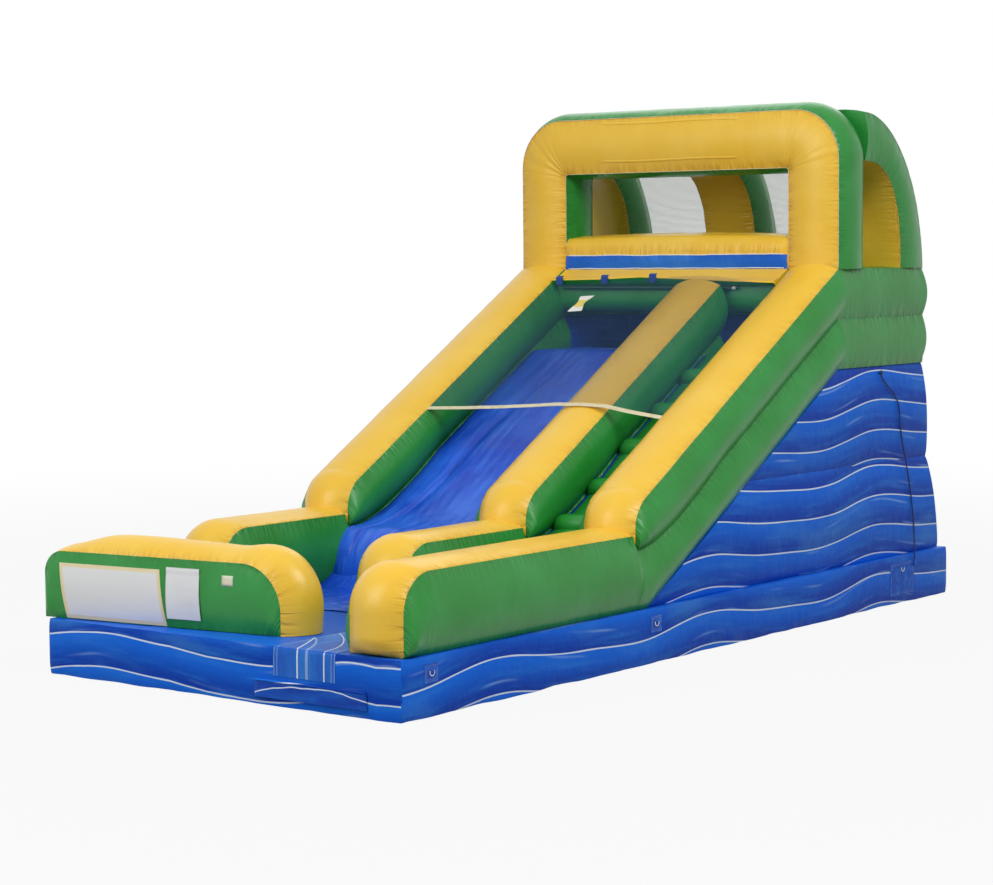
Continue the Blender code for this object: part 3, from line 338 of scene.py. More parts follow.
def marble_look():
    """Blue print of soft waves with thin white lines, on coated cloth. Each band between the lines
    is lighter at its top: painted sheen.
    """
    look = Look("blue_marble", specular_ior_level=0.08)
    cloth = look.cloth()
    along, up, _ = look.axes(cloth)
    drift = look.speckle(look.spot(along * 0.5, up * 0.6), 1.3, 2.0) - 0.5
    wave = (along * (math.tau / 2.9)).math("COSINE") * 0.058
    wave = wave + (along * (math.tau / 1.45) + 0.9).math("COSINE") * 0.014 + drift * 0.05
    level_up = (up - wave + 0.02) / 0.272
    gap = ((level_up + 0.5).math("FRACT") - 0.5).math("ABSOLUTE")
    thin = look.speckle(look.spot(along * 1.0, level_up.math("ROUND")), 2.2, 2.0)
    line = 1.0 - gap.step(0.012, thin * 0.03 + 0.016)
    faint_up = (up - wave * 1.5 + drift * 0.12 + 0.15) / 0.19
    faint_gap = ((faint_up + 0.5).math("FRACT") - 0.5).math("ABSOLUTE")
    faint_mask = look.speckle(look.spot(along * 1.4, faint_up.math("ROUND") * 3.7), 1.0, 1.0)
    faint = (1.0 - faint_gap.step(0.0, 0.09)) * faint_mask.step(0.52, 0.7)
    # Painted sheen: from the bottom of each band between the white lines to its top, the blue runs
    # from dark to light.
    share = level_up.math("FRACT")
    brush = look.speckle(look.spot(along * 1.1, (up - wave) * 11.0), 1.0, 4.0, 0.6)
    cloud = look.speckle(look.spot(along * 0.8, (up - wave) * 2.6, 3.0), 1.1, 3.0)
    deep = look.mix(share.step(0.0, 1.0), colour(0.004, 0.050, 0.42),
                    colour(0.008, 0.158, 0.80))
    pale = look.mix(brush.step(0.46, 0.74) * 0.5, deep, colour(0.03, 0.24, 0.76))
    misty = look.mix(cloud.step(0.52, 0.78) * 0.35, pale, colour(0.09, 0.36, 0.80))
    marked = look.mix(faint * 0.45, misty, colour(0.36, 0.58, 0.95))
    look.dress(base_color=look.mix(line, marked, colour(0.78, 0.87, 0.98)))
    weave = look.speckle(look.place(), 420.0, 1.0)
    crumple = look.speckle(look.place(), 9.0, 3.0, 0.55)
    look.dress(roughness=crumple * 0.16 + 0.32)
    look.relief(weave * 0.04 + crumple, 0.012, 0.6)
    return look.material


MARBLE = marble_look()


def base_form():
    bm = bmesh.new()
    bmesh.ops.create_cube(bm, size=1.0)
    bmesh.ops.scale(bm, vec=(WIDTH, LENGTH, BASE_TOP), verts=bm.verts)
    bmesh.ops.translate(bm, vec=(0, 0, BASE_TOP / 2), verts=bm.verts)
    upright = [e for e in bm.edges if abs(e.verts[0].co.z - e.verts[1].co.z) > 0.1]
    bmesh.ops.bevel(bm, geom=upright, offset=BASE_CORNER, segments=3, profile=0.5,
                    affect="EDGES", material=-1)
    cut_up(bm, (((0, 0, 1), 0.0, BASE_TOP, 0.025), ((1, 0, 0), -WIDTH / 2, WIDTH / 2, CUT_APART),
                ((0, 1, 0), front, rear, CUT_APART)))
    for vert in bm.verts:
        x, y, z = vert.co
        far_x = max(0.0, abs(x) - WIDTH / 2 + BASE_CORNER)
        far_y = max(0.0, abs(y) - LENGTH / 2 + BASE_CORNER)
        if math.hypot(far_x, far_y) > BASE_CORNER - 0.006:
            rise = min(z, BASE_TOP - z)
            tuck = BASE_TUCK * abs(2 * z / BASE_TOP - 1) ** 6
            ripple = soft_noise((x, y, 0), 0.16, 2.0) * 0.010 * max(0.0, 1 - z / 0.1)
            gather = abs(soft_noise((x, y, 0), 0.07, 5.0)) * 0.010 * max(0.0, 1 - rise / 0.08)
            out = Vector((math.copysign(far_x, x), math.copysign(far_y, y), 0)).normalized()
            vert.co += out * (ripple - gather - tuck)
            if z < 0.02:
                vert.co.z = max(0.0, soft_noise((x, y, 0), 0.35, 8.0) * 0.02)
        if z > BASE_TOP - 0.001:
            vert.co.z -= 0.004 + 0.004 * soft_noise((x, y, 0), 0.22, 3.0)
    lay_print(bm)
    return bm


form = base_form()
base_cover = BVHTree.FromBMesh(form)
base = add_piece("base", form, [MARBLE], smooth_angle=60)
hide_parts("base_platform")


# Body: two stacked chambers of the same print behind the slope. Each side swells between
# its seams, and a deep crease runs where one sits on the other.
MODULE = 0.45
WALL_OUT = 1.80
WALL = 0.55
WALL_IN = WALL_OUT - WALL
STOREY_TOP = 3 * MODULE
DECK = 5 * MODULE
RAKE = 0.585
TOWER_FRONT = 2.10
TOWER_REAR = 3.72
BELLY = 0.04
GAP = 0.0003
slope = math.atan(RAKE)
foot_y = TOWER_FRONT - (DECK - BASE_TOP) / RAKE


def ramp_y(height):
    return TOWER_FRONT - (DECK - height) / RAKE


def ramp_z(y):
    return DECK - RAKE * (TOWER_FRONT - y)


def storey_form(low, high, low_rear, high_rear, seed):
    seam = WALL_OUT - BELLY
    outline = ((ramp_y(low), low), (low_rear, low), (high_rear, high), (ramp_y(high), high))
    bm = bmesh.new()
    face = bm.faces.new([bm.verts.new((-seam, y, z)) for y, z in outline])
    grown = bmesh.ops.extrude_face_region(bm, geom=[face])["geom"]
    moved = [part for part in grown if isinstance(part, bmesh.types.BMVert)]
    bmesh.ops.translate(bm, vec=(2 * seam, 0, 0), verts=moved)
    cut_up(bm, (((0, 0, 1), low, high, 0.045), ((0, 1, 0), ramp_y(low), low_rear, CUT_APART),
                ((1, 0, 0), -seam, seam, 0.2)))
    for vert in bm.verts:
        x, y, z = vert.co
        share = (z - low) / (high - low)
        swell = math.sin(math.pi * min(max(share, 0.0), 1.0)) ** 0.6 if 0 < share < 1 else 0.0
        pinch = math.exp(-min(share, 1 - share) * (high - low) / 0.07)
        fold = abs(soft_noise((y, 0, 0), 0.09, seed)) * 0.012 * pinch
        dent = soft_noise((y, z * 1.6, 0), 0.55, seed) * 0.008 * swell
        if abs(x) > seam - 0.001:
            vert.co.x += math.copysign(BELLY * swell - fold * swell + dent, x)
        back = low_rear + (high_rear - low_rear) * share
        if y > back - 0.001:
            across = 1 - (x / seam) ** 6
            vert.co.y += BELLY / 2 * swell * across
    bmesh.ops.recalc_face_normals(bm, faces=bm.faces)
    lay_print(bm, 0.02 if seed > 1.5 else 0.08)
    return bm


lower_body = add_piece("lower_body", storey_form(BASE_TOP + GAP, STOREY_TOP, 4.05, 3.80, 1.0),
                       [MARBLE], smooth_angle=50)
upper_body = add_piece("upper_body", storey_form(STOREY_TOP + GAP, DECK, 3.80, 3.70, 2.0),
                       [MARBLE], smooth_angle=50)
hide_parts("lower_storey")
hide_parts("upper_storey")


# Wall tubes: green sides with a broad yellow strip sewn between them along the top. The
# lower ones lie along the base and turn up the slope, the upper ones start at the knee in
# a rounded nose. The cloth gathers in short folds along both seams, most at the bends.
DIVIDER = 0.53
SLIDE_LANE = 1.42
divider_left = SLIDE_LANE - WALL_IN
divider_right = divider_left + DIVIDER
LOW_WALL = 0.60
LOW_NOSE = 0.30
UPPER_NOSE = 0.30
SADDLE_SETBACK = 0.157
SADDLE_RISE = 0.48
SADDLE_REACH = 1.27
SADDLE_SHARE = 0.33
KNEE_NOTCH = 0.04
LIP_FRONT = 1.86
BED_TOP = 2.37
SEAM_SHARE = 0.92
STRIP_CROWN = 0.06
NOSE_CROWN = 0.075
SIDE_SWELL = 0.085
ROW_APART = 0.030
SIDE_CELLS = 12
STRIP_CELLS = 14
knee_y = foot_y - SADDLE_SETBACK
lean = MODULE * math.cos(slope) * math.sin(slope)
saddle_start = Vector((knee_y, BASE_TOP + SADDLE_RISE))
saddle_end = Vector((knee_y + SADDLE_REACH, ramp_z(knee_y + SADDLE_REACH) + MODULE))
saddle_turn = Vector((knee_y + SADDLE_REACH * SADDLE_SHARE, saddle_start.y))


def saddle(t):
    """The curve on which the upper tubes sit, from the knee to the straight slope."""
    return saddle_start * (1 - t) ** 2 + saddle_turn * 2 * t * (1 - t) + saddle_end * t * t


def saddle_under(t):
    """The foot of the lower tube below a point of the saddle."""
    stops = (0.0, 0.2, 0.4, 0.6, 0.8, 1.0)
    feet = [knee_y, foot_y] + [saddle(s).x + lean * share
                               for s, share in zip(stops[2:], (0.5, 0.8, 1.0, 1.0))]
    y = between(t, stops, feet)
    return Vector((y, max(BASE_TOP + GAP, ramp_z(y) + GAP)))


def fill_rows(pairs, apart):
    """Add rows between pairs of low and high points, so that no step is long."""
    rows = [pairs[0]]
    for (low_a, high_a), (low_b, high_b) in zip(pairs, pairs[1:]):
        count = max(1, math.ceil(max((high_b - high_a).length, (low_b - low_a).length) / apart))
        for i in range(1, count + 1):
            rows.append((low_a.lerp(low_b, i / count), high_a.lerp(high_b, i / count)))
    return rows


def arc(centre, radii, start, end, steps):
    """Points on an ellipse, from one angle in degrees to another."""
    turns = [math.radians(start + (end - start) * i / steps) for i in range(steps + 1)]
    return [Vector((centre[0] + radii[0] * math.cos(a), centre[1] + radii[1] * math.sin(a)))
            for a in turns]


def lower_rows(start, end):
    """The low wall's own round front, its flat run, and its way up the slope."""
    low, high = BASE_TOP + GAP, BASE_TOP + LOW_WALL
    outline = [Vector((start, low)), Vector((start, high - LOW_NOSE))]
    outline += arc((start + LOW_NOSE, high - LOW_NOSE), (LOW_NOSE, LOW_NOSE), 180, 90, 12)[1:]
    total = sum((b - a).length for a, b in zip(outline, outline[1:]))
    pairs, run = [], 0.0
    for i, point in enumerate(outline):
        run += (point - outline[i - 1]).length if i else 0.0
        pairs.append((Vector((start + (LOW_NOSE + 0.04) * run / total, low)), point))
    for y in (start + LOW_NOSE + 0.05, knee_y - KNEE_NOTCH):
        pairs.append((Vector((y, low)), Vector((y, high))))
    pairs += [(saddle_under(i / 24), saddle(i / 24)) for i in range(25)]
    pairs.append((Vector((end, ramp_z(end) + GAP)), Vector((end, ramp_z(end) + MODULE))))
    if end < TOWER_FRONT - 0.1:
        for y in (end + KNEE_NOTCH, TOWER_FRONT - GAP):
            pairs.append((Vector((y, ramp_z(y) + GAP)), Vector((y, BED_TOP))))
    return fill_rows(pairs, ROW_APART)


def upper_rows(end):
    """The nose at the knee and the straight run up to the tower."""
    touch_y = knee_y + UPPER_NOSE * (1 - math.sin(slope))
    centre = Vector((knee_y + UPPER_NOSE,
                     ramp_z(touch_y) + 2 * MODULE - UPPER_NOSE * math.cos(slope)))
    pairs = [(saddle(0.0), saddle(0.0)), (saddle(0.0), Vector((knee_y, centre.y)))]
    turn = arc(centre, (UPPER_NOSE, UPPER_NOSE), 180, 90 + math.degrees(slope), 12)
    pairs += [(saddle(0.4 * i / 12), point) for i, point in enumerate(turn)][1:]
    stops = (0.4, 0.6, 0.8, 1.0)
    tops = [touch_y] + [saddle(t).x - lean for t in stops[1:]]
    for i in range(1, 19):
        t = 0.4 + 0.6 * i / 18
        y = between(t, stops, tops)
        pairs.append((saddle(t), Vector((y, ramp_z(y) + 2 * MODULE))))
    pairs.append((Vector((end, ramp_z(end) + MODULE)), Vector((end, ramp_z(end) + 2 * MODULE))))
    raised = [(low + Vector((0, 2 * GAP)), high) for low, high in pairs]
    return fill_rows(raised, ROW_APART)


def folds(run, seed, apart):
    """Sharp short folds at uneven places along a seam: 0 between them, 1 in each."""
    value = noise.noise(Vector((run / apart, seed * 7.31, 0.4)))
    return max(0.0, 1.0 - abs(value) / 0.2)


def skin(cells, rows, place, panel=None):
    """A piece of cloth from a flat grid: place gives each crossing's spot, its place on the
    cloth and how much it is gathered, which the vinyl darkens there as painted shade, and panel
    the material of each cell."""
    bm = bmesh.new()
    bmesh.ops.create_grid(bm, x_segments=cells, y_segments=rows, size=1.0)
    cloth = bm.loops.layers.uv.new("cloth")
    pinch = bm.verts.layers.float.new("pinch")
    known = {}
    for vert in bm.verts:
        i = round((vert.co.x + 1) / 2 * cells)
        j = round((vert.co.y + 1) / 2 * rows)
        known[vert] = (i, j, *place(i, j))
    for face in bm.faces:
        if panel:
            face.material_index = panel(min(known[v][0] for v in face.verts),
                                        min(known[v][1] for v in face.verts))
        for loop in face.loops:
            loop[cloth].uv = known[loop.vert][3]
    for vert, found in known.items():
        vert.co = found[2]
        vert[pinch] = found[4]
    return bm


def close_up(bm, merge=0.0002):
    """Weld the long seam, close the ends and turn every face outwards."""
    bmesh.ops.remove_doubles(bm, verts=bm.verts, dist=merge)
    bmesh.ops.dissolve_degenerate(bm, edges=bm.edges, dist=merge / 4)
    holes = [e for e in bm.edges if e.is_boundary]
    if holes:
        bmesh.ops.holes_fill(bm, edges=holes, sides=0)
    bmesh.ops.recalc_face_normals(bm, faces=bm.faces)
    return bm


def vinyl_look(name, base, deep, pale, seed, shine=0.42, streaks=0.0,
               press=(0.35, 0.10)):
    """Plain coated cloth: slightly uneven colour, fine crumple, and folds along its seams, with
    painted shade darkening the folds and the seams.
    """
    look = Look(name, specular_ior_level=shine)
    spot = look.place()
    pinch = look.drawn("pinch")
    along, across, _ = look.axes(look.cloth())
    patch = look.speckle(spot, 1.7, 3.0)
    crumple = look.speckle(spot, 11.0, 3.0, 0.55)
    gather = look.speckle(look.spot(along * 13.0, across * 2.0, seed), 1.0, 2.0)
    fold = 1.0 - ((gather - 0.5).math("ABSOLUTE") * 9.0).math("MINIMUM", 1.0)
    shade = look.mix(patch.step(0.35, 0.7), colour(*base), colour(*pale))
    if streaks:
        drawn = look.speckle(look.spot(along * 1.1, across * 17.0, seed), 1.0, 4.0, 0.6)
        shade = look.mix(drawn.step(0.5, 0.72) * streaks, shade, colour(0.10, 0.30, 0.90))
        shade = look.mix((1.0 - drawn.step(0.3, 0.45)) * streaks, shade, colour(*deep))
    # Painted shade: the colour darkens to the deep tone in the folds and along the seams, as far as
    # the mesh is pinched there.
    shade = look.mix(fold * pinch * press[0] + pinch * press[1], shade, colour(*deep))
    look.dress(base_color=shade, roughness=crumple * 0.16 + 0.24)
    weave = look.speckle(spot, 430.0, 1.0)
    height = crumple * 0.4 - fold * pinch * (press[0] * 2.3) + weave * 0.03
    look.relief(height, 0.010, 0.7)
    return look.material


# The second colour of each vinyl is the painted shade in its folds and along its seams.
YELLOW = vinyl_look("yellow_vinyl", (0.88, 0.53, 0.035), (0.62, 0.28, 0.012),
                    (0.90, 0.57, 0.06), 1.0)
GREEN = vinyl_look("green_vinyl", (0.018, 0.26, 0.030), (0.006, 0.12, 0.010),
                   (0.030, 0.31, 0.055), 5.0)


def row_course(rows):
    """How far along a tube each row is, the way out of the tube there, and how it bends."""
    last = len(rows) - 1
    runs, highs = [0.0], [high for _, high in rows]
    for a, b in zip(highs, highs[1:]):
        runs.append(runs[-1] + (b - a).length)
    ways = [(highs[min(last, j + 1)] - highs[max(0, j - 1)]).normalized()
            for j in range(last + 1)]
    bends = [min(1.0, (ways[min(last, j + 2)] - ways[max(0, j - 2)]).length / 0.45)
             for j in range(last + 1)]
    return runs, [Vector((-way.y, way.x)) for way in ways], bends


def tube_form(rows, half, put, seed, panel, crown=STRIP_CROWN, swell=SIDE_SWELL, under=0.0,
              foot=0.006, taper=(0.12, 0.0), course=None, strip=STRIP_CELLS, fold_apart=0.13,
              fold_reach=0.07):
    """Draw a chamber row by row: up one side, over the strip, down the other and back below.
    put turns a row's number, a way across and a point into a spot, and panel gives the
    materials of the near side, the strip, the far side and the underside."""
    sides, below = SIDE_CELLS, strip if under else 2
    far_foot = 2 * sides + strip
    runs, ways, bends = course or row_course(rows)
    crowns = crown if isinstance(crown, list) else [crown] * len(rows)

    def place(i, j):
        low, high = rows[j]
        height = (high - low).length
        run, bend = runs[j], 0.30 + 1.3 * bends[j]
        reach = fold_reach * (1 + bends[j])
        full = min(1.0, height / 0.25)
        if i <= sides or sides + strip <= i <= far_foot:
            near = i <= sides
            up = i / sides if near else (far_foot - i) / sides
            up = math.sin(up * math.pi / 2) if up < 1 else 1.0
            gap, rise = (1 - up) * height, up * height
            belly = swell * math.sin(math.pi * up ** 0.95) ** 0.95 if 0 < up < 1 else 0.0
            fold = folds(run, seed + (2.0 if near else 6.0), fold_apart)
            dip = 0.011 * fold * bend * math.exp(-gap / reach) * min(1.0, gap / 0.012)
            base = folds(run, seed + (3.0 if near else 4.0), fold_apart)
            dip += foot * base * bend * math.exp(-rise / reach) * min(1.0, rise / 0.012)
            dent = 0.004 * soft_noise((run, rise, seed), 0.35)
            side = -1 if near else 1
            across = side * (half * SEAM_SHARE + (belly + dent) * full - dip)
            # The pinch near the top seam and the foot darkens the vinyl there as painted shade.
            pinch = math.exp(-gap / 0.05) + foot / 0.011 * math.exp(-rise / 0.05)
            return put(j, across, low.lerp(high, up)), (run, side * (gap + 0.3)), pinch
        if i > far_foot:
            share = 1 - 2 * (i - far_foot) / below
            edge = (1 - abs(share)) * half
            down = (low - high).normalized() if height > 0.01 else Vector((0, 0))
            fold = folds(run, seed + 9.0, 0.09) * min(1.0, edge / 0.012) if under else 0.0
            drop = under * (1 - abs(share) ** 2.2) - 0.006 * fold * math.exp(-edge / 0.12)
            spot = low + down * drop
            pinch = math.exp(-edge / 0.08) if under else 0.0
            return put(j, half * SEAM_SHARE * share, spot), (run, share * half), pinch
        share = (i - sides) / strip * 2 - 1
        share = math.sin(share * math.pi / 2) * 0.4 + share * 0.6
        edge = (1 - abs(share)) * half
        ends = 1.0
        for distance, length in ((run, taper[0]), (runs[-1] - run, taper[1])):
            ends *= min(1.0, distance / length) ** 0.5 if length else 1.0
        fold = folds(run, seed + (2.0 if share < 0 else 6.0), fold_apart)
        rise = crowns[j] * (1 - abs(share) ** 2.2)
        rise -= 0.009 * fold * bend * math.exp(-edge / 0.06) * min(1.0, edge / 0.012)
        rise += 0.003 * soft_noise((run, share, seed), 0.3)
        spot = high + ways[j] * rise * ends
        return put(j, half * SEAM_SHARE * share, spot), (run, share * half), math.exp(-edge / 0.045)

    def cell(i, j):
        zone = 0 if i < sides else 1 if i < sides + strip else 2 if i < far_foot else 3
        return panel(zone, runs[j]) if callable(panel) else panel[zone]

    return close_up(skin(2 * sides + strip + below, len(rows) - 1, place, cell))


def across_x(middle):
    """Stand a tube's rows up along the slide, with its width across it."""
    return lambda j, across, spot: Vector((middle + across, spot.x, spot.y))


wall_spans = {"left": (-WALL_OUT, -WALL_IN), "divider": (divider_left, divider_right),
              "right": (WALL_IN, WALL_OUT)}
wall_starts = {"left": front + 1.43, "divider": front + 1.43, "right": front + 0.09}
wall_ends = {"left": TOWER_FRONT - GAP, "divider": LIP_FRONT, "right": TOWER_FRONT - GAP}
wall_covers = {}
for number, (side, span) in enumerate(wall_spans.items()):
    end, middle, half = wall_ends[side], (span[0] + span[1]) / 2, (span[1] - span[0]) / 2
    for level_name, rows in (("lower", lower_rows(wall_starts[side], end)),
                             ("upper", upper_rows(end - GAP))):
        nose_run = 0.75 if level_name == "lower" else 0.5
        crowns = [STRIP_CROWN + NOSE_CROWN * max(0.0, 1 - run / nose_run) ** 0.7
                  for run in row_course(rows)[0]]
        covered = next(run for run, (_, high) in zip(row_course(rows)[0], rows)
                       if high.x > knee_y + 0.03)

        def tube_panel(zone, run, covered=covered if level_name == "lower" else 99.0):
            return 1 if zone == 1 and run < covered else 0

        form = tube_form(rows, half, across_x(middle),
                         10.0 + number + (10 if level_name == "upper" else 0), tube_panel,
                         crown=crowns)
        wall_covers[f"{side}_{level_name}"] = BVHTree.FromBMesh(form)
        tube = add_piece(f"{side}_{level_name}_wall", form, [GREEN, YELLOW], smooth_angle=50)
        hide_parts(f"{side}_{level_name}_tube")


# Slide bed and climbing bed: padded slopes between the walls, sewn into channels along the
# slide, each with a nose that drops to the landing and a level end on the platform.
BED_NOSE = 0.26
BED_SINK = 0.43
CHANNEL_SWELL = 0.025
BED_FLAT = 1.536
slide_span = (-1.247, 0.167)
climb_span = (0.703, 1.247)


def bed_rows(apart=ROW_APART):
    low = BASE_TOP + GAP
    turn = arc((knee_y, BASE_TOP + SADDLE_RISE - BED_SINK), (BED_NOSE, BED_SINK), 180, 90, 12)
    pairs = [(Vector((knee_y, low)), point) for point in turn[:-1]]
    pairs += [(saddle_under(i / 24), saddle(i / 24)) for i in range(25)]
    pairs.append((Vector((BED_FLAT, ramp_z(BED_FLAT) + GAP)), Vector((BED_FLAT, BED_TOP))))
    end = TOWER_FRONT - GAP
    pairs.append((Vector((end, DECK + GAP)), Vector((end, BED_TOP))))
    return fill_rows(pairs, apart)


def channel_rise(across, channels):
    """How far the bed stands up at a share of the way over it."""
    return CHANNEL_SWELL * abs(math.sin(math.pi * channels * across)) ** 0.55


def bed_form(span, channels, seed, panel=None):
    rows = bed_rows()
    runs, ways, _ = row_course(rows)
    cells = 14 * channels
    wide = span[1] - span[0]

    def place(i, j):
        low, high = rows[j]
        if i > cells:
            x = span[1] if i == cells + 1 else span[0]
            return Vector((x, low.x, low.y)), (runs[j], 2.0), 0.0
        rise = channel_rise(i / cells, channels) - 0.002
        rise += 0.002 * soft_noise((runs[j], i / cells * wide, seed), 0.2) * min(i, cells - i, 3)
        spot = high + ways[j] * rise
        edge = min(i, cells - i) / cells * wide
        return (Vector((span[0] + wide * i / cells, spot.x, spot.y)),
                (runs[j], wide * i / cells), math.exp(-edge / 0.04))

    bm = skin(cells + 3, len(rows) - 1,
              lambda i, j: place(0 if i == cells + 3 else i, j), panel)
    return close_up(bm)


# Painted shade: the liner's colour darkens strongly to its deep tone where the mesh is pinched,
# along its crease and at seams and edges.
LINER = vinyl_look("blue_liner_vinyl", (0.008, 0.065, 0.56), (0.003, 0.018, 0.2),
                   (0.02, 0.13, 0.74), 9.0, shine=0.3, streaks=0.35, press=(0.0, 0.75))
bed_covers = {}
for name, span, channels, finish, slot in (
        ("slide_lane", slide_span, 4, LINER, "blue_liner_vinyl"),
        ("climb_lane", climb_span, 1, GREEN, "green_vinyl")):
    form = bed_form(span, channels, 40.0 + channels, lambda i, j: 1 if i == 0 else 0)
    bed_covers[name] = BVHTree.FromBMesh(form)
    lane = add_piece(name, form, [finish, LINER], smooth_angle=50)
    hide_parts("slide_bed" if name == "slide_lane" else "climb_bed")


# Slide liner: one slippery blue sheet over the slide bed, down its nose and out on the
# landing. It is loose between its ties, so it creases along the slide.
LINER_SHEET = 0.002
LINER_RUN = 1.15
LINER_FILLET = 0.16
LINER_REST = 0.004


def thicken(bm, sheet):
    """Turn a cloth's faces one way and give it its thickness."""
    bmesh.ops.recalc_face_normals(bm, faces=bm.faces)
    bmesh.ops.solidify(bm, geom=bm.faces[:], thickness=sheet)
    return bm


def liner_form():
    low = BASE_TOP + 0.0006
    landing = [Vector((knee_y - BED_NOSE - LINER_RUN, low)),
               Vector((knee_y - BED_NOSE - LINER_FILLET, low))]
    curve = [point for _, point in bed_rows(0.025)]
    path = landing + [p for p in curve if p.y > BASE_TOP + 0.05 + LINER_FILLET / 3]
    rows = fill_rows([(p, p) for p in path], 0.025)
    runs, ways, _ = row_course(rows)
    cells, wide = 72, slide_span[1] - slide_span[0]

    def place(i, j):
        point = rows[j][1]
        on_bed = min(1.0, max(0.0, (runs[j] - LINER_RUN) / 0.25))
        share, x = i / cells, slide_span[0] + wide * i / cells
        drift = 0.02 * soft_noise((runs[j], 0, 0), 0.5, 4.0)
        away = x + 0.745 - 0.105 * (point.x - 1.29) + drift
        crease = math.exp(-(away / 0.016) ** 2)
        ridge = soft_noise((runs[j] * 0.3 + x * 0.25, x, 0), 0.10, 6.0)
        cross = soft_noise((runs[j], x * 0.6, 0), 0.12, 9.0)
        plump = CHANNEL_SWELL * (1 - (2 * share - 1) ** 6) * (1 - math.exp(-(away / 0.07) ** 2))
        lift = LINER_REST + 0.012 * abs(ridge) + 0.004 * abs(cross)
        rise = max(channel_rise(share, 4), plump) * on_bed + lift - 0.024 * crease * on_bed
        if on_bed < 0.02:
            rise = 0.001 + 0.016 * abs(cross) + 0.008 * abs(ridge)
        spot = point + ways[j] * max(0.0012, rise)
        # The crease is returned as the pinch, which darkens the liner there as painted shade.
        return Vector((x, spot.x, spot.y)), (runs[j], x), crease * on_bed

    return thicken(skin(cells, len(rows) - 1, place), LINER_SHEET * 0.5), runs[-1]


form, liner_length = liner_form()
liner = add_piece("liner", form, [LINER], smooth_angle=60)
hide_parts("slide_liner")


# Stop bumper: a green block across the foot of the slide, a little askew, with a yellow top
# that wraps down its right end. It keeps people from running off the end of the slide.
BUMPER_LENGTH = 2.295
BUMPER_DEPTH = 0.52
BUMPER_TOP = 0.985
BUMPER_CORNERS = (0.18, 0.36)
BUMPER_CROWNS = ((0.40, 0.60, 0.70, 0.85, 1.05, 1.35, 2.30, 2.45, 2.70, 2.90, 3.15),
                 (0.01, 0.03, 0.05, 0.10, 0.13, 0.13, 0.10, 0.13, 0.20, 0.20, 0.17))
bumper_seat = (Matrix.Translation((-1.9143, -4.0917, 0))
               @ Matrix.Rotation(math.radians(7.2), 4, "Z"))


def bumper_rows():
    low, high = BASE_TOP + GAP, BUMPER_TOP
    r_left, r_right = BUMPER_CORNERS
    left = [Vector((0.0, low)), Vector((0.0, high - r_left))]
    left += arc((r_left, high - r_left), (r_left, r_left), 180, 90, 10)[1:]
    right = arc((BUMPER_LENGTH - r_right, high - r_right), (r_right, r_right), 90, 0, 14)
    right.append(Vector((BUMPER_LENGTH, low)))
    pairs = []
    for outline, start, end in ((left, 0.0, r_left + 0.04),
                                (right, BUMPER_LENGTH - r_right - 0.04, BUMPER_LENGTH)):
        total = sum((b - a).length for a, b in zip(outline, outline[1:]))
        run = 0.0
        for i, point in enumerate(outline):
            run += (point - outline[i - 1]).length if i else 0.0
            pairs.append((Vector((start + (end - start) * run / total, low)), point))
    return fill_rows(pairs, ROW_APART * 0.85)


def bumper_panel(zone, run):
    return 1 if zone == 1 and run > 0.44 else 0


def bumper_put(j, across, spot):
    return bumper_seat @ Vector((spot.x, BUMPER_DEPTH / 2 + across, spot.y))


rows = bumper_rows()
runs = row_course(rows)[0]
crowns = [sum(between(run + 0.04 * k, *BUMPER_CROWNS) for k in range(-3, 4)) / 7 for run in runs]
form = tube_form(rows, BUMPER_DEPTH / 2, bumper_put, 31.0, bumper_panel,
                 crown=crowns, swell=0.03, taper=(0.12, 0.0))
bumper_cover = BVHTree.FromBMesh(form)
bumper = add_piece("bumper", form, [GREEN, YELLOW], smooth_angle=50)
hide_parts("stop_bumper")


# Green bands: two stacked tubes round the sides and the back of the platform, mitred at the
# rear corners, with a deep crease where one sits on the other.
def band_route():
    """Places round the platform in plan, and how far a step across goes at each."""
    side, back = (WALL_IN + WALL_OUT) / 2, TOWER_REAR - WALL / 2
    corners = [Vector(p) for p in ((side, TOWER_FRONT), (side, back), (-side, back),
                                   (-side, TOWER_FRONT))]
    legs = [(b - a).normalized() for a, b in zip(corners, corners[1:])]
    outs = [Vector((leg.y, -leg.x)) for leg in legs]
    edges = [outs[0], outs[0] + outs[1], outs[1] + outs[2], outs[2]]
    places = []
    for k, (a, b) in enumerate(zip(corners, corners[1:])):
        count = math.ceil((b - a).length / 0.035)
        for i in range(count + (k == 2)):
            t = i / count
            out = edges[k] if i == 0 else edges[k + 1] if i == count else None
            if out is None:
                near_a, near_b = max(0.0, 1 - t * 8), max(0.0, 1 - (1 - t) * 8)
                out = edges[k] * near_a + edges[k + 1] * near_b + outs[k] * (1 - near_a - near_b)
            places.append((a.lerp(b, t), out))
    return places


def band_form(low, high, seed, panel):
    places = band_route()
    rows = [(Vector((0, low)), Vector((0, high)))] * len(places)
    runs, bends = [0.0], []
    for (a, _), (b, _) in zip(places, places[1:]):
        runs.append(runs[-1] + (b - a).length)
    for spot, out in places:
        bends.append(1.0 if out.length > 1.1 else 0.15)
    course = (runs, [Vector((0, 1))] * len(places), bends)

    def put(j, across, spot):
        place, out = places[j]
        at = place + out * across
        return Vector((at.x, at.y, spot.y))

    return tube_form(rows, WALL / 2, put, seed, panel, crown=0.012, swell=0.034,
                     foot=0.012, taper=(0.0, 0.0), course=course)


for number, (name, node, low, inner) in enumerate((
        ("low_band", "lower_band", DECK, 1), ("high_band", "upper_band", DECK + MODULE, 0))):
    form = band_form(low + GAP, low + MODULE, 50.0 + number, (inner, 0, 0, 0))
    band = add_piece(name, form, [GREEN, LINER], smooth_angle=50)
    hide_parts(node)


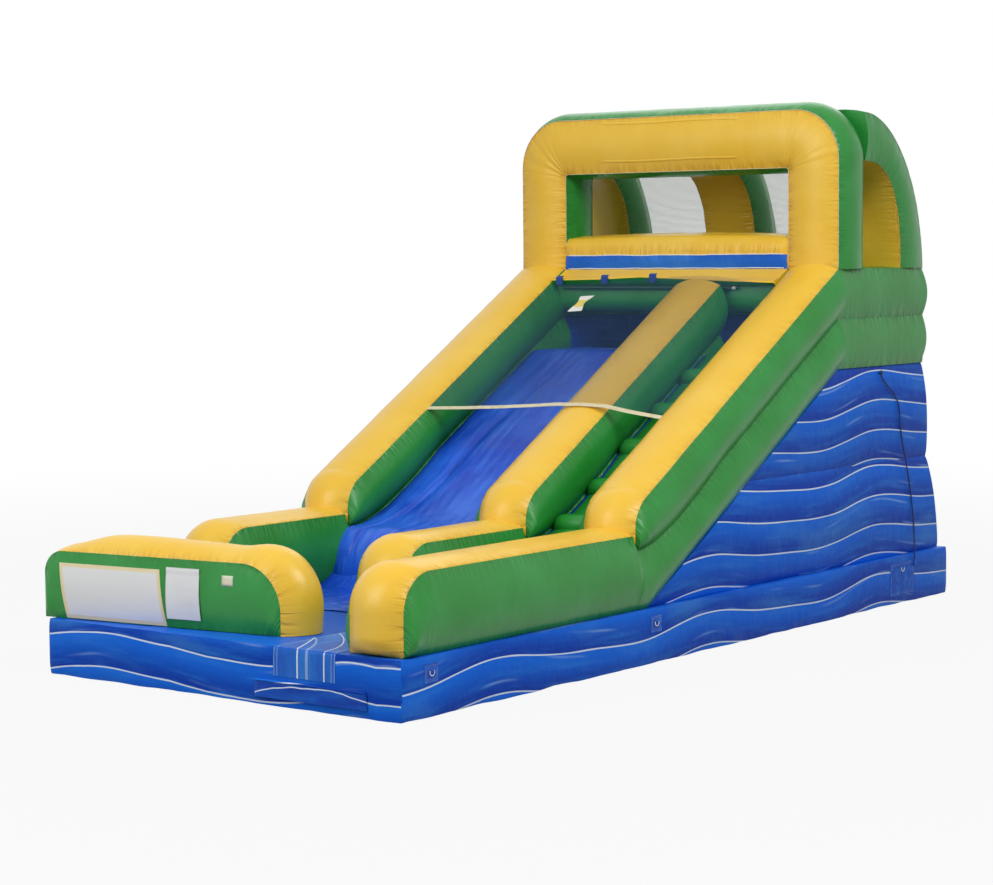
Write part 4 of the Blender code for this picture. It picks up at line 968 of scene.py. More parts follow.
# Platform floor: a thin pad of blown-up vinyl inside the bands, quilted in five rolls and
# level with the tops of the beds.
def platform_form():
    low, high = DECK + GAP, BED_TOP
    x_end, y_start, y_end = WALL_IN - GAP, TOWER_FRONT, TOWER_REAR - WALL - GAP

    def place(i, j):
        u, v = i / 48, j / 24
        if i > 48:
            return Vector((x_end if i == 49 else -x_end, y_start + (y_end - y_start) * v, low)), \
                (2.0, v), 0.0
        edge = min(u, 1 - u, v, 1 - v)
        rise = 0.012 * abs(math.sin(math.pi * 5 * u)) ** 0.6 - (0.012 if edge == 0 else 0.0)
        x, y = -x_end + 2 * x_end * u, y_start + (y_end - y_start) * v
        return Vector((x, y, high - 0.008 + rise)), (y, x), 0.3
    bm = skin(51, 24, lambda i, j: place(0 if i == 51 else i, j))
    return close_up(bm)


floor_pad = add_piece("floor_pad", platform_form(), [MARBLE], smooth_angle=50)
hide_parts("platform_floor")


# Front arch: one yellow chamber round the window, two columns and a beam with round
# shoulders. Its face is domed and pulls into long folds that spread from the window's
# corners, and its outer edge is green.
ARCH_DEPTH = 0.48
WINDOW_TOP = 4.07
ARCH_TOP = 4.59
ARCH_SEAM = 1.77
ARCH_CORNER = 0.45
BAND_TOP = 7 * MODULE
arch_middle = TOWER_FRONT + ARCH_DEPTH / 2


def arch_rows():
    foot, bend_z = BAND_TOP + GAP, WINDOW_TOP - 0.03
    pairs = [(Vector((-WALL_IN, foot)), Vector((-ARCH_SEAM, foot))),
             (Vector((-WALL_IN, bend_z)), Vector((-ARCH_SEAM, bend_z)))]
    inner = arc((-WALL_IN + 0.03, WINDOW_TOP - 0.03), (0.03, 0.03), 180, 90, 20)
    turn = arc((-ARCH_SEAM + ARCH_CORNER, ARCH_TOP - ARCH_CORNER), (ARCH_CORNER, ARCH_CORNER),
               180, 90, 24)
    outer = [Vector((-ARCH_SEAM, bend_z))] + turn + [Vector((-WALL_IN + 0.12, ARCH_TOP))]
    lengths = [0.0]
    for a, b in zip(outer, outer[1:]):
        lengths.append(lengths[-1] + (b - a).length)
    for k in range(1, 21):
        at = lengths[-1] * k / 20
        spot = Vector((between(at, lengths, [p.x for p in outer]),
                       between(at, lengths, [p.y for p in outer])))
        pairs.append((inner[k], spot))
    mirrored = [(Vector((-a.x, a.y)), Vector((-b.x, b.y))) for a, b in reversed(pairs)]
    return fill_rows(pairs + mirrored, ROW_APART)


def arch_put(j, across, spot):
    return Vector((spot.x, arch_middle + across, spot.y))


rows = arch_rows()
crowns = [0.06 + 0.02 * min(1.0, max(0.0, (high.y - 4.0) / 0.55)) for _, high in rows]
form = tube_form(rows, ARCH_DEPTH / 2, arch_put, 61.0, (0, 1, 1, 1), crown=crowns, swell=0.06,
                 under=0.045, foot=0.015, taper=(0.0, 0.0), fold_apart=0.13, fold_reach=0.14)
arch_cover = BVHTree.FromBMesh(form)
front_arch = add_piece("front_arch", form, [YELLOW, GREEN], smooth_angle=50)
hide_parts("left_arch_column", "right_arch_column", "arch_top_beam")


# Piping: a thin cord in a cream vinyl sleeve, sewn into the seams round the window and
# along the arch's outer edge.
CORD_RADIUS = 0.003


def swept(places, radius, sides=8):
    """A round cord along a line of places, closed at both ends."""
    last = len(places) - 1
    ways = [(places[min(last, j + 1)] - places[max(0, j - 1)]).normalized()
            for j in range(last + 1)]
    guide = Vector((0, 1, 0)) if abs(ways[0].y) < 0.8 else Vector((0, 0, 1))
    frames = []
    for way in ways:
        guide = (guide - way * guide.dot(way)).normalized()
        frames.append((guide, way.cross(guide)))

    def place(i, j):
        turn = math.tau * i / sides
        first, second = frames[j]
        spot = places[j] + (first * math.cos(turn) + second * math.sin(turn)) * radius
        return spot, (j * 0.02, i * 0.004), 0.0

    return close_up(skin(sides, last, place), merge=0.00002)


def webbing_look(name, base, deep):
    look = Look(name, roughness=0.8)
    spot = look.place()
    x, y, z = look.axes(spot)
    rib = ((x + y + z) * 2400.0).math("SINE") * 0.5 + 0.5
    wear = look.speckle(spot, 14.0, 3.0)
    look.dress(base_color=look.mix(wear.step(0.4, 0.75) * 0.6, colour(*base), colour(*deep)))
    look.relief(rib * 0.4 + look.speckle(spot, 700.0, 1.0), 0.0012)
    return look.material


CREAM = webbing_look("cream_webbing", (0.78, 0.70, 0.47), (0.60, 0.50, 0.30))
BLUE_WEB = webbing_look("blue_webbing", (0.02, 0.08, 0.34), (0.01, 0.04, 0.2))
seam_y = arch_middle - ARCH_DEPTH / 2 * SEAM_SHARE - 0.004
for name, line in (("window_piping", [low for low, _ in rows]),
                   ("edge_piping", [high for _, high in rows])):
    cord = add_piece(name, swept([Vector((p.x, seam_y, p.y)) for p in line], CORD_RADIUS),
                     [CREAM])


# Banner strips: two long hook-and-loop tapes on yellow vinyl backing, sewn level across the
# beam and a little padded underneath.
def laid_form(cover, cells, count, ray, extent, stand, sheet, swell=0.0):
    """A sheet pressed against a swollen surface: ray gives where each crossing starts from
    and the way it is pushed, and extent the cloth's own size."""
    def place(i, j):
        u, v = i / cells, j / count
        start, way = ray(u, v)
        hit = cover.ray_cast(start, way)[0] or start + way * 0.3
        edge = min(u * extent[0], (1 - u) * extent[0], v * extent[1], (1 - v) * extent[1])
        lift = stand + swell * min(1.0, edge / 0.02) ** 0.6
        return hit - way * lift, (u * extent[0], v * extent[1]), 0.0

    bm = skin(cells, count, place)
    bmesh.ops.recalc_face_normals(bm, faces=bm.faces)
    middle = bm.faces[:][len(bm.faces) // 2]
    if middle.normal.dot(ray(0.5, 0.5)[1]) > 0:
        bmesh.ops.reverse_faces(bm, faces=bm.faces)
    bmesh.ops.solidify(bm, geom=bm.faces[:], thickness=sheet)
    return bm


for name, z in (("top_banner_strip", 4.54), ("low_banner_strip", 4.18)):
    def strip_ray(u, v, z=z):
        x = -0.795 + 1.516 * u
        return Vector((x, 1.7, z - 0.011 + 0.022 * v + 0.004 * math.sin(x * 5))), Vector((0, 1, 0))
    strip = add_piece(name, laid_form(arch_cover, 60, 4, strip_ray, (1.516, 0.022), 0.003, 0.003,
                                      0.006), [YELLOW], smooth_angle=50)


# Sill: a yellow chamber under the window with a wrinkled round top, a blue panel let into
# its face and a lip that runs forward over the net's top edge. A green header hangs behind
# the lip over both lanes.
SILL_REACH = 1.245
LIP_STOPS = ((-1.28, -0.67, -0.21, 0.46, 1.19), (0.050, 0.060, 0.080, 0.055, 0.030))
sill_outline = ((2.58, 3.00), (2.58, 3.38), (2.53, 3.45), (2.34, 3.475), (2.15, 3.45),
                (2.105, 3.39), (2.10, 3.285), (2.10, 3.153), (1.865, 3.016), (1.86, 3.00))
WHITE_LINE = Look("white_line", base_color=colour(0.8, 0.86, 0.93), roughness=0.4).material


def sill_form():
    points = [Vector(p) for p in sill_outline] + [Vector(sill_outline[0])]
    line, zones = [points[0]], []
    for k, (a, b) in enumerate(zip(points, points[1:])):
        count = max(1, math.ceil((b - a).length / 0.028))
        for i in range(1, count + 1):
            line.append(a.lerp(b, i / count))
            zones.append(k)
    cells = len(line) - 1
    count = 88

    def place(i, j):
        x = -SILL_REACH + 2 * SILL_REACH * j / count
        spot = line[i % cells]
        y, z = spot.x, spot.y
        end = min(1.0, (SILL_REACH - abs(x)) / 0.06)
        top = max(0.0, (z - 3.30) / 0.17) if y > 2.05 else 0.0
        arched = 0.020 * (1 - (x / SILL_REACH) ** 2) * top
        fold = folds(x, 71.0, 0.07)
        dip = 0.012 * fold * math.exp(-abs(z - 3.30) / 0.05) if y < 2.3 and z > 3.24 else 0.0
        dip += 0.006 * folds(x, 73.0, 0.10) * math.exp(-abs(z - 3.153) / 0.03)
        lip = between(x, *LIP_STOPS) * max(0.0, 1 - (y - 1.86) / (0.10 if z > 3.01 else 0.045))
        puff = 0.022 * math.sin(math.pi * min(1.0, max(0.0, (z - 3.15) / 0.30))) * end
        wave = 0.006 * soft_noise((x, y * 2, z * 2), 0.14, 7.0)
        if y < 2.2 and z > 3.14:
            y += dip - puff - wave
        elif y > 2.5:
            y += 0.01 * end
        else:
            z += wave * (1 if z > 3.02 else 0) - dip * 0.6
        return Vector((x, y, z + arched + lip)), (x, z), \
            math.exp(-abs(z - 3.30) / 0.05)

    def panel(i, j):
        return {6: 1, 9: 2}.get(zones[i], 0)

    return close_up(skin(cells, count, place, panel))


def header_form():
    bm = bmesh.new()
    bmesh.ops.create_cube(bm, size=1.0)
    bmesh.ops.scale(bm, vec=(2.496, 0.35, 0.25), verts=bm.verts)
    bmesh.ops.translate(bm, vec=(0, 2.125, 2.885), verts=bm.verts)
    low = [e for e in bm.edges if all(v.co.z < 2.8 for v in e.verts)
           and abs(e.verts[0].co.x - e.verts[1].co.x) > 0.1]
    bmesh.ops.bevel(bm, geom=low, offset=0.10, segments=6, profile=0.5, affect="EDGES",
                    material=-1)
    cut_up(bm, (((1, 0, 0), -1.248, 1.248, 0.05), ((0, 0, 1), 2.86, 3.01, 0.03)))
    for vert in bm.verts:
        x, y, z = vert.co
        puff = 0.016 * max(0.0, 1 - abs(z - 2.9) / 0.12) * (1 - (x / 1.25) ** 8)
        fold = 0.006 * folds(x, 77.0, 0.09) * max(0.0, (z - 2.93) / 0.08)
        vert.co.y += (fold - puff) if y < 2.125 else puff
    for face in bm.faces:
        face.material_index = 2
    bmesh.ops.recalc_face_normals(bm, faces=bm.faces)
    return bm


def join_forms(forms):
    """Put several forms into one."""
    whole = bmesh.new()
    for form in forms:
        holder = bpy.data.meshes.new("holder")
        form.to_mesh(holder)
        form.free()
        whole.from_mesh(holder)
        bpy.data.meshes.remove(holder)
    return whole


form = sill_form()
sill_cover = BVHTree.FromBMesh(form)
PANEL_BLUE = vinyl_look("sill_panel_vinyl", (0.016, 0.14, 0.68), (0.008, 0.06, 0.42),
                        (0.04, 0.22, 0.78), 12.0, shine=0.15)
sill = add_piece("sill", join_forms([form, header_form()]), [YELLOW, PANEL_BLUE, GREEN],
                 smooth_angle=50)
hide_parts("window_sill")
for name, level in (("sill_top_line", 3.283), ("sill_bottom_line", 3.157)):
    def line_ray(u, v, level=level):
        x = -1.21 + 2.42 * u
        wave = 0.006 * soft_noise((x, 0, level), 0.2, 3.0)
        return Vector((x, 1.8, level + wave + 0.009 * v)), Vector((0, 1, 0))
    line = add_piece(name, laid_form(sill_cover, 90, 1, line_ray, (2.42, 0.009), 0.0015, 0.001),
                     [WHITE_LINE])


# Side arches: three braces from the front arch down to the rear band, green with a yellow
# underside that wrinkles across the bend.
INNER_REACH = 0.68
INNER_RISE = 0.98
OUTER_REACH = 1.11
OUTER_RISE = 1.42
arch_back = TOWER_FRONT + ARCH_DEPTH


def super_arc(angle, reach, rise, power):
    c, s = max(math.cos(angle), 0.0), max(math.sin(angle), 0.0)
    return Vector((arch_back + GAP + reach * c ** (2 / power),
                   BAND_TOP + GAP + rise * s ** (2 / power)))


def brace_rows(steps=64):
    rows = []
    for i in range(steps + 1):
        turn = math.radians(90) * (1 - i / steps)
        rows.append((super_arc(turn, INNER_REACH, INNER_RISE, 2.6),
                     super_arc(turn, OUTER_REACH, OUTER_RISE, 1.9)))
    return rows


for number, (name, span) in enumerate((("left", (-WALL_OUT, -WALL_IN)), ("middle", (-0.385, 0.22)),
                                       ("right", (WALL_IN, WALL_OUT)))):
    node = "middle_arch" if name == "middle" else f"{name}_side_arch"
    form = tube_form(brace_rows(), (span[1] - span[0]) / 2, across_x((span[0] + span[1]) / 2),
                     81.0 + number, (0, 0, 0, 1), crown=0.03, swell=0.03, under=0.03, foot=0.010,
                     taper=(0.0, 0.0))
    brace = add_piece(f"{name}_brace", form, [GREEN, YELLOW], smooth_angle=50)
    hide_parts(node)
    "yellow_vinyl" if name == "middle" else "green_vinyl"


# Rear meshes: two panels of pale grey knotted netting, stretched between the braces and
# sewn to them to close the tower's back.
def netting_look(name, cord, pitch, share, roughness=0.7):
    """Open netting: cords both ways in the cloth's own metres, and nothing between them."""
    look = Look(name, base_color=colour(*cord), roughness=roughness)
    along, across, _ = look.axes(look.cloth())
    cells = [((way / pitch).math("FRACT") - 0.5).math("ABSOLUTE") for way in (along, across)]
    open_part = cells[0].math("MAXIMUM", cells[1])
    look.dress(alpha=open_part.math("GREATER_THAN", 0.5 - share / 2))
    return look.material


GREY_MESH = netting_look("grey_mesh", (0.80, 0.80, 0.80), 0.012, 0.30)


def rear_mesh_form(span):
    rows = [(a.lerp(b, 0.85), a.lerp(b, 0.85)) for a, b in brace_rows(40)]
    runs, ways, _ = row_course(rows)
    wide = span[1] - span[0] - 0.004

    def place(i, j):
        x = span[0] + 0.002 + wide * i / 24
        slack = math.sin(math.pi * i / 24) * (0.012 + 0.006 * soft_noise((runs[j], x, 0), 0.3))
        spot = rows[j][1] + ways[j] * slack
        return Vector((x, spot.x, spot.y)), (runs[j], x), 0.0

    bm = skin(24, len(rows) - 1, place)
    bmesh.ops.recalc_face_normals(bm, faces=bm.faces)
    return bm, wide, runs[-1]


for name, span in (("left", (-WALL_IN, -0.385)), ("right", (0.22, WALL_IN))):
    form, wide, long = rear_mesh_form(span)
    mesh = add_piece(f"{name}_mesh", form, [GREY_MESH])
    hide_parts(f"{name}_rear_mesh")


# Climbing steps: five short rolls of green vinyl sewn across the climbing lane, blown up
# with it and drawn in where their ends meet the walls.
STEP_RADIUS = 0.09
STEP_APART = 0.56
FIRST_STEP = 0.42


def on_bed(distance):
    """A point on the bed's top, measured up from its nose, and the way the bed runs there."""
    line = [high for _, high in bed_rows() if high.x >= knee_y - 1e-6]
    for a, b in zip(line, line[1:]):
        length = (b - a).length
        if distance <= length:
            return a + (b - a) * distance / length, (b - a).normalized()
        distance -= length
    return line[-1], Vector((1, 0))


def bed_seat(distance, x):
    spot, way = on_bed(distance)
    return (Matrix.Translation((x, spot.x, spot.y))
            @ Matrix.Rotation(math.atan2(way.y, way.x), 4, "X"))


def step_form(seat, seed):
    wide = climb_span[1] - climb_span[0]

    def place(i, j):
        u = j / 40
        x = wide * (u - 0.5)
        edge = min(u, 1 - u) * wide
        lie = channel_rise(u, 1) - 0.004
        if i > 18:
            return seat @ Vector((x, 0, lie)), (x, 0.4), 0.0
        turn = math.pi * i / 18
        girth = STEP_RADIUS * (0.62 + 0.38 * min(1.0, edge / 0.05) ** 0.5)
        girth -= 0.008 * folds(x, seed, 0.05) * math.exp(-edge / 0.05)
        girth += 0.003 * soft_noise((x, turn * 0.1, seed), 0.12)
        spot = Vector((x, math.cos(turn) * girth, lie + math.sin(turn) * girth))
        return seat @ spot, (x, turn * girth), math.exp(-edge / 0.04)

    return close_up(skin(20, 40, lambda i, j: place(0 if i == 20 else i, j)))


climb_middle = (climb_span[0] + climb_span[1]) / 2
for number in range(5):
    seat = bed_seat(FIRST_STEP + STEP_APART * number, climb_middle)
    step = add_piece(f"step_{number + 1}", step_form(seat, 90.0 + number), [GREEN], smooth_angle=50)
    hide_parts(f"climb_step_{number + 1}")


# Grab handles: two loops of blue webbing, folded flat at their ends and sewn to the
# climbing lane between the steps.
def handle_form(seat):
    line = [(-0.120, 0.002), (-0.084, 0.002)]
    line += [(p.x, p.y) for p in arc((0, 0.004), (0.075, 0.048), 175, 5, 16)]
    line += [(0.084, 0.002), (0.120, 0.002)]
    places = smooth_route([(x, 0, z) for x, z in line], 0.006)
    last = len(places) - 1
    lie = channel_rise(0.5 - 0.1 / (climb_span[1] - climb_span[0]), 1)

    def place(i, j):
        spot = places[j]
        curl = 0.002 * math.cos(math.pi * (i / 8 * 2 - 1)) * min(1.0, spot.z / 0.03)
        return (seat @ Vector((spot.x, (i / 8 - 0.5) * 0.04, spot.z + lie + curl)),
                (spot.x, i * 0.005), 0.0)

    return thicken(skin(8, last, place), 0.003)


for number, steps_up in enumerate((2.5, 0.5)):
    seat = bed_seat(FIRST_STEP + STEP_APART * steps_up, climb_middle)
    handle = add_piece(f"handle_{number + 1}", handle_form(seat), [BLUE_WEB], smooth_angle=50)
    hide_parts(f"climb_handle_{number + 1}")


# Safety net: one stretched piece of dark netting over both lanes, from the tower down, tied
# along the seams of the side walls and resting on the divider.
NET_LOW = 0.02
NET_HIGH = 1.8594
NET_REACH = 1.2716
NET_LIFT = 0.08
NET_PEAK = 0.086
DIVIDER_SEAMS = (0.1912, 0.6788)
net_seams = (-NET_REACH, DIVIDER_SEAMS[0], 0.435, DIVIDER_SEAMS[1], NET_REACH)
DARK_NET = netting_look("dark_net", (0.025, 0.08, 0.17), 0.011, 0.13)


def net_z(x, y):
    return ramp_z(y) + 2 * MODULE + 0.0004 + between(x, net_seams, (0.0, NET_LIFT, NET_PEAK,
                                                                      NET_LIFT, 0.0))


def net_sag(x, y):
    """How far the net hangs between the walls it is tied to."""
    for a, b, deep in ((-NET_REACH, DIVIDER_SEAMS[0], 0.015),
                       (DIVIDER_SEAMS[1], NET_REACH, 0.008)):
        if a < x < b:
            middle = math.sin(math.pi * (y - NET_LOW) / (NET_HIGH - NET_LOW))
            sag = deep * (0.6 + 0.4 * middle) - 0.004 * soft_noise((x, y, 3.0), 0.25)
            return sag * math.sin(math.pi * (x - a) / (b - a))
    return 0.0


def net_form():
    cells, count = 60, 44

    def place(i, j):
        x = -NET_REACH + 2 * NET_REACH * i / cells
        y = NET_LOW + (NET_HIGH - NET_LOW) * j / count
        return Vector((x, y, net_z(x, y) - net_sag(x, y))), (x, y / math.cos(slope)), 0.0

    bm = skin(cells, count, place)
    bmesh.ops.recalc_face_normals(bm, faces=bm.faces)
    return bm


net = add_piece("safety_net", net_form(), [DARK_NET])
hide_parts("lane_net")


# Net strap: cream webbing sewn along the net's lower edge, that runs from wall to wall
# over the divider and carries the net's pull.
def net_strap_form():
    def place(i, j):
        x = -NET_REACH + 2 * NET_REACH * j / 96
        y = NET_LOW - 0.0005 - 0.0432 * (1 - i / 5)
        sag = 0.0
        for a, b, deep in ((-NET_REACH, DIVIDER_SEAMS[0], 0.009),
                           (DIVIDER_SEAMS[1], NET_REACH, 0.0048)):
            if a < x < b:
                sag = deep * math.sin(math.pi * (x - a) / (b - a))
        roll = 0.002 * math.cos(math.pi * (i / 5 * 2 - 1)) + 0.0015 * soft_noise((x, 0, 0), 0.2)
        return Vector((x, y, net_z(x, y) - sag + roll)), (x, y), 0.0

    return thicken(skin(5, 96, place), -0.003)


strap = add_piece("net_edge_strap", net_strap_form(), [CREAM], smooth_angle=50)
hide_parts("net_strap")


# Net hem: yellow tape sewn along the sill's lip over the net's top edge, with three tabs of
# blue webbing that go over the lip's edge and hang a little below it.
lip_edge = Vector((0, LIP_FRONT, 3.016))
lip_run = Vector((0, 0.235, 0.137)).normalized()
lip_out = Vector((0, -0.137, 0.235)).normalized()


def tape_on_lip(x_low, x_high, start, long, stand):
    """A length of webbing lying on the lip."""
    cells = max(2, round((x_high - x_low) / 0.025))

    def ray(u, v):
        x = x_low + (x_high - x_low) * u
        spot = lip_edge + lip_run * (start + long * v) + lip_out * 0.15
        return Vector((x, spot.y, spot.z + between(x, *LIP_STOPS))), -lip_out
    return laid_form(sill_cover, cells, max(2, round(long / 0.012)), ray,
                     (x_high - x_low, long), stand, 0.002)


def grid_sheet(cells, count, spot, extent, sheet):
    """A thin sheet drawn straight from a rule for its spots."""
    def place(i, j):
        u, v = i / cells, j / count
        return spot(u, v), (u * extent[0], v * extent[1]), 0.0

    return thicken(skin(cells, count, place), sheet)


def tab_spot(x, u, v):
    """A tab runs down the lip, over its edge and hangs a little below it."""
    level = 3.009 + between(x, *LIP_STOPS)
    if v > 0.3:
        return Vector((x + 0.08 * (u - 0.5), 1.8515 + 0.004 * (v - 0.3), level - 0.075 * (v - 0.3)))
    up = 0.3 - v
    return Vector((x + 0.08 * (u - 0.5), 1.8515 + 0.080 * up, level + 0.018 + 0.047 * up))


hem_tape = tape_on_lip(-SILL_REACH + 0.003, SILL_REACH - 0.003, 0.012, 0.03, 0.002)
for face in hem_tape.faces:
    face.material_index = 1
tapes = [hem_tape]
for x in (-1.141, -0.612, -0.063):
    tapes.append(grid_sheet(4, 14, lambda u, v, x=x: tab_spot(x, u, v), (0.08, 0.10), 0.002))
hem = add_piece("net_top_hem", join_forms(tapes), [BLUE_WEB, YELLOW], smooth_angle=50)
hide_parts("net_hem")


# Spray hose: a plastic tube with a rounded plug at one end, hung in a sewn strip under
# the sill's lip, with a thin spout at the climbing end that carries the white tap coupling.
# Tube and strip are dark green as painted shade: the shadow under the lip.
HOSE_Y = 1.91
HOSE_Z = 2.98
HOSE_RADIUS = 0.014
hose_stops = ((-1.15, 0.004), (-1.148, 0.009), (-1.142, 0.0125), (-1.13, HOSE_RADIUS),
              (0.762, HOSE_RADIUS),
              (0.772, 0.0135), (0.780, 0.0115), (0.7802, 0.010), (0.8300, 0.010), (0.8300, 0.006))
# Painted shade: the hose and its strip are dark green to read as the shadow under the lip.
HOSE = Look("spray_hose", base_color=colour(0.006, 0.07, 0.035), roughness=0.4).material


def hose_form():
    stops = []
    for (a, r_a), (b, r_b) in zip(hose_stops, hose_stops[1:]):
        count = max(1, math.ceil((b - a) / 0.06))
        stops += [(a + (b - a) * i / count, r_a + (r_b - r_a) * i / count) for i in range(count)]
    stops.append(hose_stops[-1])

    def place(i, j):
        x, radius = stops[j]
        turn = math.tau * i / 20
        spray = 0.0006 * math.cos(x * 160.0) if -1.1 < x < 0.74 else 0.0
        radius += spray
        return Vector((x, HOSE_Y + math.cos(turn) * radius, HOSE_Z + math.sin(turn) * radius)), \
            (x, turn * HOSE_RADIUS), 0.0

    def strip_place(i, j):
        x = -1.14 + 1.90 * j / 70
        up = HOSE_Z + 0.0125 + 0.0073 * i / 2
        return Vector((x, HOSE_Y + 0.0015 * soft_noise((x, 0, 0), 0.1), up)), (x, up), 0.0

    tube = close_up(skin(20, len(stops) - 1, place), merge=0.00005)
    return join_forms([tube, thicken(skin(2, 70, strip_place), 0.003)])


hose = add_piece("hose", hose_form(), [HOSE], smooth_angle=40)
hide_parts("spray_hose")
NUT_WHITE = Look("nut_white", base_color=colour(0.8, 0.8, 0.77), roughness=0.45)
nut_grip = NUT_WHITE.speckle(NUT_WHITE.place(), 260.0, 1.0)
NUT_WHITE.relief(nut_grip, 0.0006)
bpy.data.objects["hose_swivel_nut"].material_slots[0].material = NUT_WHITE.material


# Entry mat: a second layer of the marble cloth sewn on the base's top at the way in and
# turned down over its front edge.
MAT_LEFT, MAT_RIGHT = 0.60, 1.21
MAT_TOP = 0.80
MAT_DROP = 0.22


def mat_form():
    total = MAT_DROP + MAT_TOP + 0.02

    def ray(u, v):
        x = MAT_LEFT + (MAT_RIGHT - MAT_LEFT) * u
        at = v * total
        if at < MAT_DROP - 0.04:
            return Vector((x, front - 0.3, BASE_TOP - MAT_DROP + at)), Vector((0, 1, 0))
        if at > MAT_DROP + 0.06:
            return Vector((x, front + at - MAT_DROP - 0.02, BASE_TOP + 0.3)), Vector((0, 0, -1))
        turn = math.radians(90) * (at - MAT_DROP + 0.04) / 0.10
        way = Vector((0, math.cos(turn), -math.sin(turn)))
        middle = Vector((x, front + 0.04, BASE_TOP - 0.04))
        return middle - way * 0.3, way

    return laid_form(base_cover, 22, 46, ray, (MAT_RIGHT - MAT_LEFT, total), 0.003, 0.0018)


def lined_look(name, wide, lines, stitches=0.0):
    """Blue cloth with white lines that bend along it, and stitches along two edges."""
    look = Look(name, specular_ior_level=0.2)
    across, along, _ = look.axes(look.cloth())
    back = (along - 0.22).math("MAXIMUM", 0.0)
    cloud = look.speckle(look.spot(across * 5.0, along * 1.4), 1.0, 3.0)
    shade = look.mix(cloud.step(0.3, 0.75), colour(0.010, 0.11, 0.56), colour(0.035, 0.23, 0.72))
    for start, bend, curve, half, share in lines:
        off = (across - back * bend - back * back * curve - start).math("ABSOLUTE")
        mark = (1.0 - off.step(half * 0.7, half * 1.3)) * share
        shade = look.mix(mark, shade, colour(0.78, 0.87, 0.98))
    if stitches:
        edge = across.math("MINIMUM", wide - across)
        rows = (edge - 0.010).math("ABSOLUTE").math("MINIMUM", (edge - 0.040).math("ABSOLUTE"))
        shade = look.mix((1.0 - rows.step(0.001, 0.003)) * stitches, shade,
                         colour(0.62, 0.76, 0.95))
    look.dress(base_color=shade)
    crumple = look.speckle(look.place(), 14.0, 3.0, 0.55)
    look.dress(roughness=crumple * 0.2 + 0.3)
    look.relief(crumple, 0.010, 0.6)
    return look.material


MAT_BLUE = lined_look("mat_marble", 0.61, ((0.24, -0.412, -0.186, 0.007, 1.0),
                                           (0.50, -0.053, -0.80, 0.006, 1.0),
                                           (0.331, -0.30, -0.77, 0.012, 0.35)), 0.6)
mat = add_piece("mat", mat_form(), [MAT_BLUE], smooth_angle=50)
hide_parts("entry_mat")


# Zip: a black tape with a row of moulded teeth across the base's front, for letting the air
# out, under a welt and a loose flap of the marble cloth.
ZIP_LEFT, ZIP_RIGHT = 0.43, 1.50
ZIP_TEETH = 118
TAPE_FACE = -4.1303
BLACK = Look("black_plastic", base_color=colour(0.015, 0.015, 0.017), roughness=0.42).material


def rounded_block(size, at, offset, segments):
    """A small block with its edges rounded off."""
    bm = bmesh.new()
    bmesh.ops.create_cube(bm, size=1.0)
    bmesh.ops.scale(bm, vec=size, verts=bm.verts)
    bmesh.ops.bevel(bm, geom=bm.edges[:], offset=offset, segments=segments, profile=0.5,
                    affect="EDGES", material=-1)
    bmesh.ops.translate(bm, vec=at, verts=bm.verts)
    return bm


def zip_form():
    wide = ZIP_RIGHT - ZIP_LEFT
    tape = grid_sheet(60, 4, lambda u, v: Vector((ZIP_LEFT + wide * u, TAPE_FACE - 0.0012,
                                                  0.060 + 0.118 * v)), (wide, 0.118), -0.0015)
    welt = swept([Vector((ZIP_LEFT + wide * i / 40, TAPE_FACE - 0.009, 0.1865))
                  for i in range(41)], 0.0085, 12)
    for face in welt.faces:
        face.material_index = 1
    parts = [tape, welt]
    for i in range(ZIP_TEETH):
        for side in (0, 1):
            x = ZIP_LEFT + 0.006 + (wide - 0.012) * (i + 0.5 * side) / ZIP_TEETH
            parts.append(rounded_block((0.0042, 0.0038, 0.0075),
                                       (x, TAPE_FACE - 0.0046, 0.1135 + 0.005 * side), 0.0008, 1))
    return join_forms(parts)


zip_piece = add_piece("zip", zip_form(), [BLACK, MARBLE], smooth_angle=40)
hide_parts("zip_tape")


def flap_look():
    """The marble cloth with one white line that dips and rises across the flap."""
    look = Look("flap_marble", specular_ior_level=0.15)
    across, down, _ = look.axes(look.cloth())
    uneven = look.speckle(look.spot(across * 3.0, 0.0), 1.0, 2.0) * 0.05
    off = (down - 0.064 + across * 0.28 - across * across * 0.23 - uneven).math("ABSOLUTE")
    cloud = look.speckle(look.spot(across * 2.0, down * 9.0), 1.0, 3.0)
    shade = look.mix(cloud.step(0.3, 0.75), colour(0.005, 0.05, 0.40), colour(0.012, 0.13, 0.60))
    look.dress(base_color=look.mix(1.0 - off.step(0.003, 0.006), shade, colour(0.78, 0.87, 0.98)),
               roughness=cloud * 0.2 + 0.32)
    look.relief(look.speckle(look.place(), 14.0, 3.0, 0.55), 0.010, 0.6)
    return look.material


ZIP_FLAP = (1.09, 0.117)


def flap_spot(u, v):
    x = ZIP_LEFT - 0.01 + (ZIP_RIGHT - ZIP_LEFT + 0.02) * u
    z = 0.1787 - 0.1167 * v
    wave = 0.006 * soft_noise((x, v * 0.1, 0), 0.16, 5.0) * v
    tuck = 0.009 * max(0.0, 1 - min(u, 1 - u) / 0.025)
    return Vector((x, -4.1493 - max(-0.001, wave) + tuck, z))


FLAP_BLUE = flap_look()
flap = add_piece("zip_cover_flap", grid_sheet(70, 8, flap_spot, ZIP_FLAP, 0.0015),
                 [FLAP_BLUE], body="flap", smooth_angle=50)
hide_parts("zip_flap")


